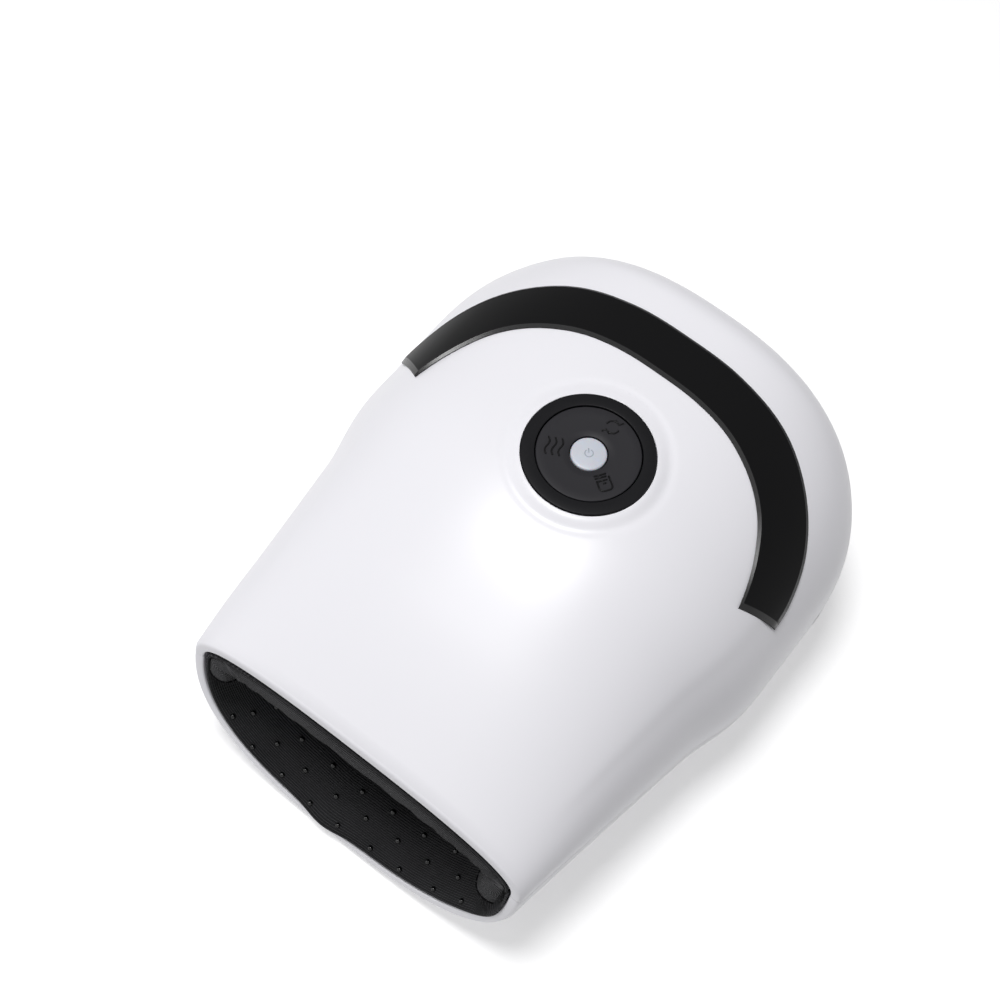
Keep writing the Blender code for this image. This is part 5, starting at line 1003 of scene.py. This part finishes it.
def panelMesh(name, upper):
    cols, length = tunnel["columns"], tunnel["length"]
    t, turnAt = np.linspace(0, 1, tunnel["rows"]), tunnel["straightRows"]
    straight = length - tunnel["round"]
    turned = straight + tunnel["round"] * np.sin((t - turnAt) / (1 - turnAt) * quarter)
    d = np.where(t < turnAt, t / turnAt * straight, turned)
    depths, angles = np.meshgrid(d, np.linspace(0, math.pi, cols) + (0 if upper else math.pi), indexing="ij")
    gap = tunnel["seamGap"]
    points = onCut(depths, tunnelCut(depths), angles, shift=gap if upper else -gap)
    front, rear = smooth(depths / padding["mouthFade"]), smooth((length - depths) / padding["rearFade"])
    inside = front * np.abs(np.sin(angles)) * rear
    points[..., 2] += ripple(points) * inside * (padding["upperShare"] if upper else 1.0)
    if not upper:
        overLip(points, depths, angles)
    u, v = runAlong(points, 1), runAlong(points, 0)
    u = u - u[:, cols // 2][:, None]
    v = mix(np.median(v, axis=1)[:, None], v, tunnel["ownRun"])
    corner = np.hypot(u[:, -1:] - ribFan["at"][0] - u, v - ribFan["at"][1])
    fan = 1 - smooth((corner - ribFan["radius"]) / ribFan["fade"])
    ribs = mix(v, corner * ribFan["pitchShare"], fan)
    return openMesh(name, points, {"knitMap": (u, ribs), "studMap": (u, v)})


# A thin cloth from an open surface
def clothPiece(name, mesh, thickness, material, standsFor):
    obj = linked(name, mesh)
    wall = obj.modifiers.new("cloth", "SOLIDIFY")
    wall.thickness = thickness
    wall.offset = -1
    wall.use_even_offset = False
    return settled(painted(plain(obj), material), "case", (standsFor,))


upperPanel, lowerPanel = (
    clothPiece(name, panelMesh(name, upper), tunnel["thickness"], finish["knitBlack"], cadName)
    for name, upper, cadName in (("knitUpper", True, "liner_upper"), ("knitLower", False, "liner_lower")))

# The hem is a padded welt. Its profile runs from the rim down its face, under it and back to the roof.
hem = {
    "thickness": 0.0008, "columns": 150, "rows": 30, "below": (13, 5), "lift": 0.0006,
    "turnAt": (0.006, 0.005), "ribTurn": 0.0065, "puckers": 31, "pucker": 0.0002,
    "stitch": 0.0021, "stitchGap": 0.00035, "stitchSteps": 5, "pathSteps": 60, "thread": 0.00044,
    "profile": ((0.0006, 0.0), (-0.0002, 0.0020), (-0.0004, 0.0045), (0.0002, 0.0068), (0.0016, 0.0080),
                (0.0036, 0.0084), (0.0062, 0.0076), (0.0098, 0.0050), (0.0150, 0.0012)),
}


def hemPoint(share, angle):
    at, drop = np.array(hem["profile"]).T
    knots = np.linspace(0, 1, len(at))
    depth, inset = through(knots, at, share), through(knots, drop, share) + hem["lift"]
    behind = np.maximum(depth, 0)
    points = onCut(behind, tunnelCut(behind), angle, -inset, -inset)
    points[..., 1] += np.minimum(depth, 0)
    return points


def hemEnds():
    right, left = np.radians(hem["below"])
    return -right, math.pi + left


def hemMesh():
    across = np.linspace(0, 1, hem["rows"])
    shares, angles = np.meshgrid(across, np.linspace(*hemEnds(), hem["columns"]), indexing="ij")
    points = hemPoint(shares, angles)
    points[..., 1] += hem["pucker"] * np.sin(angles * hem["puckers"]) * np.sin(math.pi * shares)
    u = runAlong(points, 1)[hem["rows"] // 3][None, :] + 0 * shares
    v = runAlong(points, 0)
    end = np.minimum(u, u[:, -1:] - u)
    corner = np.hypot(end - hem["turnAt"][0], v - hem["turnAt"][1])  # ribs turn in rings at each end
    near = 1 - smooth((corner - hem["ribTurn"]) / hem["ribTurn"])
    return openMesh("hemBand", points, {"knitMap": (u, mix(v, corner, near))})


# Stitches along both ends of the hem
def stitchLines():
    lines = []
    for angle in hemEnds():
        path = hemPoint(np.linspace(0, 1, hem["pathSteps"]), np.full(hem["pathSteps"], angle))
        length = runAlong(path, 0)
        for start in np.arange(0, length[-1] - hem["stitch"], hem["stitch"] + hem["stitchGap"]):
            spots = np.linspace(start, start + hem["stitch"], hem["stitchSteps"])
            line = np.stack([np.interp(spots, length, way) for way in path.T], axis=-1)
            lines.append((hem["thread"], line))
    return lines


piece("hemSeams", tubes("hemSeams", stitchLines()), "case", finish["seamThread"])
hemBand = clothPiece("hemBand", hemMesh(), hem["thickness"], finish["hemGrey"], "liner_hem")
print("hand massager: knit panels made")

# Studs: glossy dots in staggered rows over each knit panel, placed by rule on the panel's own map
studs = {
    "Pitch": 0.0136, "Row Pitch": 0.0074, "Stud Radius": 0.00105, "Stud Height": 0.0009, "Rows": 18,
    "Columns": 9, "Stagger": 0.5, "First Row": 0.3, "Jitter": 0.0006, "Seed": 4,
}


def namedValue(tree, name, kind):
    return node(tree, "GeometryNodeInputNamedAttribute", [("Name", name)], data_type=kind).outputs[0]


def storedValue(tree, geometry, name, value, kind):
    links = [("Geometry", geometry), ("Name", name), ("Value", value)]
    return node(tree, "GeometryNodeStoreNamedAttribute", links, data_type=kind).outputs[0]


# Where each stud lies on the map
def studSpots(tree, given):
    calc = partial(maths, tree)
    index = node(tree, "GeometryNodeInputIndex").outputs[0]
    row = calc("FLOOR", calc("DIVIDE", index, given["Columns"]))
    column = calc("SUBTRACT", index, calc("MULTIPLY", row, given["Columns"]))
    moved = calc("ADD", column, calc("MULTIPLY", calc("MODULO", row, 2.0), given["Stagger"]))
    middle = calc("MULTIPLY", calc("SUBTRACT", given["Columns"], 1.0), -0.5)
    middle = calc("SUBTRACT", middle, calc("MULTIPLY", given["Stagger"], 0.5))
    across = calc("MULTIPLY", calc("ADD", moved, middle), given["Pitch"])
    down = calc("MULTIPLY", calc("ADD", row, given["First Row"]), given["Row Pitch"])
    spot = node(tree, "ShaderNodeCombineXYZ", [(0, across), (1, down)]).outputs[0]
    ends = [(0, (-1, -1, 0)), (1, (1, 1, 0)), ("Seed", given["Seed"])]
    wander = node(tree, "FunctionNodeRandomValue", ends, data_type="FLOAT_VECTOR").outputs[0]
    shift = node(tree, "ShaderNodeVectorMath", [(0, wander), ("Scale", given["Jitter"])], operation="SCALE")
    return node(tree, "ShaderNodeVectorMath", [(0, spot), (1, shift.outputs[0])], operation="ADD").outputs[0]


def studRule(tree, given):
    total = maths(tree, "MULTIPLY", given["Rows"], given["Columns"])
    dots = node(tree, "GeometryNodePoints", [("Count", total)]).outputs[0]
    spots, panelMap = studSpots(tree, given), namedValue(tree, "studMap", "FLOAT_VECTOR")
    place, facing = (
        node(tree, "GeometryNodeSampleUVSurface", [
            ("Mesh", given["Geometry"]), ("Value", node(tree, kind).outputs[0]), ("Source UV Map", panelMap),
            ("Sample UV", spots)], data_type="FLOAT_VECTOR").outputs
        for kind in ("GeometryNodeInputPosition", "GeometryNodeInputNormal"))
    dots = storedValue(tree, dots, "inside", place["Is Valid"], "BOOLEAN")
    dots = storedValue(tree, dots, "outwards", facing["Value"], "FLOAT_VECTOR")
    placed = node(tree, "GeometryNodeSetPosition", [("Geometry", dots), ("Position", place["Value"])])
    dome = node(tree, "GeometryNodeMeshUVSphere", [
        ("Segments", 12), ("Rings", 8), ("Radius", given["Stud Radius"])])
    flatness = maths(tree, "DIVIDE", given["Stud Height"], given["Stud Radius"])
    squat = node(tree, "ShaderNodeCombineXYZ", [(0, 1.0), (1, 1.0), (2, flatness)])
    outwards = namedValue(tree, "outwards", "FLOAT_VECTOR")
    turn = node(tree, "FunctionNodeAlignRotationToVector", [("Vector", outwards)], axis="Z")
    return node(tree, "GeometryNodeInstanceOnPoints", [
        ("Points", placed.outputs[0]), ("Selection", namedValue(tree, "inside", "BOOLEAN")),
        ("Instance", dome.outputs[0]), ("Rotation", turn.outputs[0]), ("Scale", squat.outputs[0])]).outputs[0]


def addStuds(name, upper):
    obj = ruled(name, studs, finish["studGloss"], studRule, panelMesh(name, upper))
    cleaned(obj.data, sharp=60)
    return settled(obj, "case")


lowerStuds, upperStuds = addStuds("studsLower", False), addStuds("studsUpper", True)

# Airbags behind the knit, welded across into cells, each with an air stem at its rear
bags = {
    "upper": {"depth": 0.0028, "edge": 24}, "lower": {"depth": 0.0064, "edge": 20}, "thickness": 0.0044,
    "start": 0.022, "end": 0.1375, "weld": 0.0006, "gap": 0.0001, "cells": 3, "valley": 0.45,
    "valleyWidth": 0.045, "plainEnds": 0.1, "pillowPower": 5, "rows": 64, "columns": 60,
}
nipple = {
    "x": 0.020, "radius": 0.0017, "bore": 0.0011, "root": 0.0030, "length": 0.0110, "flange": 0.0008,
    "flangeHeight": 0.0012, "neck": 0.0020, "barb": 0.003, "barbRise": 0.0002,
}


def pillow(share):
    return np.clip(1 - np.abs(2 * share - 1) ** bags["pillowPower"], 0, 1) ** 0.5


def buildBag(name, upper, standsFor):
    bag, thick = bags["upper" if upper else "lower"], bags["thickness"]
    edge, first = math.radians(bag["edge"]), 0 if upper else math.pi
    down, across = np.linspace(0, 1, bags["rows"]), np.linspace(0, 1, bags["columns"])
    downShare, acrossShare = np.meshgrid(down, across, indexing="ij")
    depths = mix(bags["start"], bags["end"], downShare)
    angles = mix(first + edge, first + math.pi - edge, acrossShare)
    valley = np.exp(-(((downShare * bags["cells"] + 0.5) % 1 - 0.5) / bags["valleyWidth"]) ** 2)
    cell = 1 - bags["valley"] * valley * (downShare > bags["plainEnds"]) * (downShare < 1 - bags["plainEnds"])
    half = thick / 2 * np.maximum(pillow(acrossShare) * pillow(downShare) * cell, bags["weld"] / thick)
    cut, side, lift = tunnelCut(depths), bags["upper"]["depth"], bag["depth"]
    outsets = [thick / 2 + bags["gap"] + way * half for way in (-1, 1)]
    grids = [onCut(depths, cut, angles, side + out, lift + out) for out in outsets]
    mesh = closedMesh(name, np.concatenate(grids).reshape(-1, 3), slabFaces(*downShare.shape), sharp=60)
    piece(name, mesh, "case", finish["bladder"], (standsFor,))


def buildStem(name, x, upper):
    half, middle, top, bottom = (float(v) for v in tunnelCut(np.array(bags["end"])))
    depth = bags["upper" if upper else "lower"]["depth"] + bags["thickness"] / 2
    power = form["rearTopPower"] if upper else form["rearSolePower"]
    reach = (top - middle if upper else middle - bottom) + depth
    rise = reach * (1 - (abs(x) / (half + depth)) ** power) ** (1 / power)
    root = (x, along(bags["end"]) - nipple["root"], middle + (rise if upper else -rise))
    place = Matrix.Translation(root) @ Matrix.Rotation(-quarter, 4, "X")
    r, b, barb = nipple["radius"], nipple["bore"], nipple["barbRise"]
    end = nipple["root"] + nipple["length"]
    profile = [(b, 0), (r + nipple["flange"], 0), (r + nipple["flange"], nipple["flangeHeight"]),
               (r, nipple["neck"]), (r, end - nipple["barb"]), (r + barb, end - nipple["barb"] + 2 * barb),
               (b + barb, end), (b, end)]
    mesh = turnedMesh(name, profile, steps=32, sharp=35, places=(place,))
    piece(name, mesh, "case", finish["silicone"])


buildBag("airbagUpper", True, "upper_airbag")
buildBag("airbagLower", False, "lower_airbag")
buildStem("stemUpper", nipple["x"], True)
buildStem("stemLower", -nipple["x"], False)

heater = {
    "edge": 42, "start": 0.045, "end": 0.1375, "depth": 0.0016, "thickness": 0.0008,
    "rows": 50, "columns": 40,
}


def buildHeater():
    edge = math.radians(heater["edge"])
    down = np.linspace(heater["start"], heater["end"], heater["rows"])
    depths, angles = np.meshgrid(down, np.linspace(edge, math.pi - edge, heater["columns"]), indexing="ij")
    points = onCut(depths, tunnelCut(depths), angles, heater["depth"], heater["depth"])
    mesh, film = openMesh("heatingFilm", points, inward=False), finish["heaterFilm"]
    return clothPiece("heatingFilm", mesh, heater["thickness"], film, "heating_pad")


heatingFilm = buildHeater()

# Hoses, leads and the pump's cradle keep their routes, as rounder copies of the CAD solids
softPieces = {
    "silicone": ("silicone", "hose_pump hose_upper hose_lower hose_valve"),
    "rubber": ("black_rubber", "lead_battery lead_pump lead_valve lead_heater lead_socket pump_cradle"),
}
cradleRound = 0.0004


def softened(cadName, material):
    bm = bmesh.new()
    bm.from_mesh(nodes[cadName].data)
    bm.transform(nodes[cadName].matrix_world)
    bmesh.ops.remove_doubles(bm, verts=bm.verts, dist=welds["soft"])
    mesh = bpy.data.meshes.new("soft_" + cadName)
    bm.to_mesh(mesh)
    bm.free()
    obj = linked("soft_" + cadName, mesh)
    if cadName == "pump_cradle":
        softEdges(obj, cradleRound, angle=30)
    else:
        rounder = obj.modifiers.new("rounder", "SUBSURF")
        rounder.levels = rounder.render_levels = 1
        plain(obj)
    settled(painted(obj, material, sharp=50), "case", (cadName,))


for material, (slot, names) in softPieces.items():
    for name in names.split():
        softened(name, finish[material])
print("hand massager: soft inner pieces made")

# Rubber feet, with a rounded rim and a pressed ring
feet = {
    "radius": 0.0055, "round": 0.0006, "ring": 0.0030, "ringWidth": 0.0008, "ringDepth": 0.0004,
    "inset": 0.0003, "front": (0.0250, 0.036), "rear": (0.0380, 0.1514),
}


def footMesh(x, d):
    radius, ringAt, width = feet["radius"], feet["ring"], feet["ringWidth"]
    top = soleHeight(x - radius, d) - feet["inset"]
    profile = [(0, 0), (ringAt - width, 0), (ringAt - width / 2, feet["ringDepth"]),
               (ringAt + width / 2, feet["ringDepth"]), (ringAt + width, 0)]
    profile += [(radius - side, up) for side, up in roundOver(feet["round"], count=5)]
    profile += [(radius, top), (0, top)]
    places = [Matrix.Translation((side * x, along(d), 0)) for side in (-1, 1)]
    return turnedMesh("feet", profile, steps=48, places=places)


feetMesh = joinedMesh("rubberFeet", [footMesh(*feet["front"]), footMesh(*feet["rear"])], sharp=45)
cadFeet = [f"foot_{end}_{side}" for end in ("front", "rear") for side in ("left", "right")]
piece("rubberFeet", feetMesh, "case", finish["rubber"], cadFeet)

# Scene: pale floor, soft studio light, camera at the photo's angle
view = {
    "azimuth": 25.559, "elevation": 63.931, "roll": 12.92, "distance": 0.5938, "lens": 60.408, "sensor": 36,
    "shift": (-0.0377, 0.0721), "target": (0, 0, 0.042), "nearest": 0.01,
}
studio = {
    "topLamp": {"place": (-0.05, 0.45, 0.90), "power": 6.9, "size": 0.34},
    "sideLamp": {"place": (-0.90, 0.15, 0.50), "power": 1.6, "size": 0.75},
    "world": 0.185, "floorLift": 0.40, "floor": (0.90, 0.90, 0.905), "floorReach": 3,
}


def cameraAxes():
    a, e, r = (math.radians(view[k]) for k in ("azimuth", "elevation", "roll"))
    back = Vector((math.sin(a) * math.cos(e), -math.cos(a) * math.cos(e), math.sin(e)))
    right = Vector((math.cos(a), math.sin(a), 0))
    up = Vector((-math.sin(a) * math.sin(e), math.cos(a) * math.sin(e), math.cos(e)))
    return right * math.cos(r) + up * math.sin(r), -right * math.sin(r) + up * math.cos(r), back


right, up, back = cameraAxes()
target = Vector(view["target"])
camera = linked("camera", bpy.data.cameras.new("camera"))
camera.data.sensor_width = view["sensor"]
camera.data.lens = view["lens"]
camera.data.shift_x, camera.data.shift_y = view["shift"]
camera.data.clip_start = view["nearest"]
turn = Matrix((right, up, back)).transposed().to_4x4()
camera.matrix_world = Matrix.Translation(target + back * view["distance"]) @ turn
bpy.context.scene.camera = camera

for name in ("topLamp", "sideLamp"):
    rule = studio[name]
    data = bpy.data.lights.new(name, "AREA")
    data.energy, data.shape, data.size = rule["power"], "DISK", rule["size"]
    lamp = linked(name, data)
    x, y, z = rule["place"]
    lamp.location = target + right * x + up * y + back * z
    lamp.rotation_euler = (target - lamp.location).to_track_quat("-Z", "Y").to_euler()


# 1 where the camera sees the surface itself, in a mirror or through glass
def seenByCamera(tree):
    path = tree.nodes.new("ShaderNodeLightPath").outputs
    mirrored = maths(tree, "MAXIMUM", path["Is Glossy Ray"], path["Is Transmission Ray"])
    return maths(tree, "MAXIMUM", path["Is Camera Ray"], mirrored)


world = bpy.data.worlds.new("studio")
bpy.context.scene.world = world
world.use_nodes = True
tree = world.node_tree
strength = maths(tree, "MULTIPLY_ADD", seenByCamera(tree), 1 - studio["world"], studio["world"])
tree.links.new(strength, tree.nodes["Background"].inputs["Strength"])
tree.nodes["Background"].inputs["Color"].default_value = (1, 1, 1, 1)

reach = studio["floorReach"]
corners = [(reach * x, reach * y, 0) for x, y in ((-1, -1), (1, -1), (1, 1), (-1, 1))]
floor = linked("floor", rawMesh("floor", corners, [(0, 1, 2, 3)]))
floorMaterial, tree, shader, _ = startMaterial("paleFloor", studio["floor"])
lift = maths(tree, "MULTIPLY", seenByCamera(tree), studio["floorLift"])
tree.links.new(lift, shader.inputs["Emission Strength"])
setInputs(shader, {"Emission_Color": (1, 1, 1, 1), "Base_Color": (*studio["floor"], 1), "Roughness": 1.0,
                   "Specular_IOR_Level": 0.0})
floor.data.materials.append(floorMaterial)
bpy.context.scene.view_settings.view_transform = "Standard"
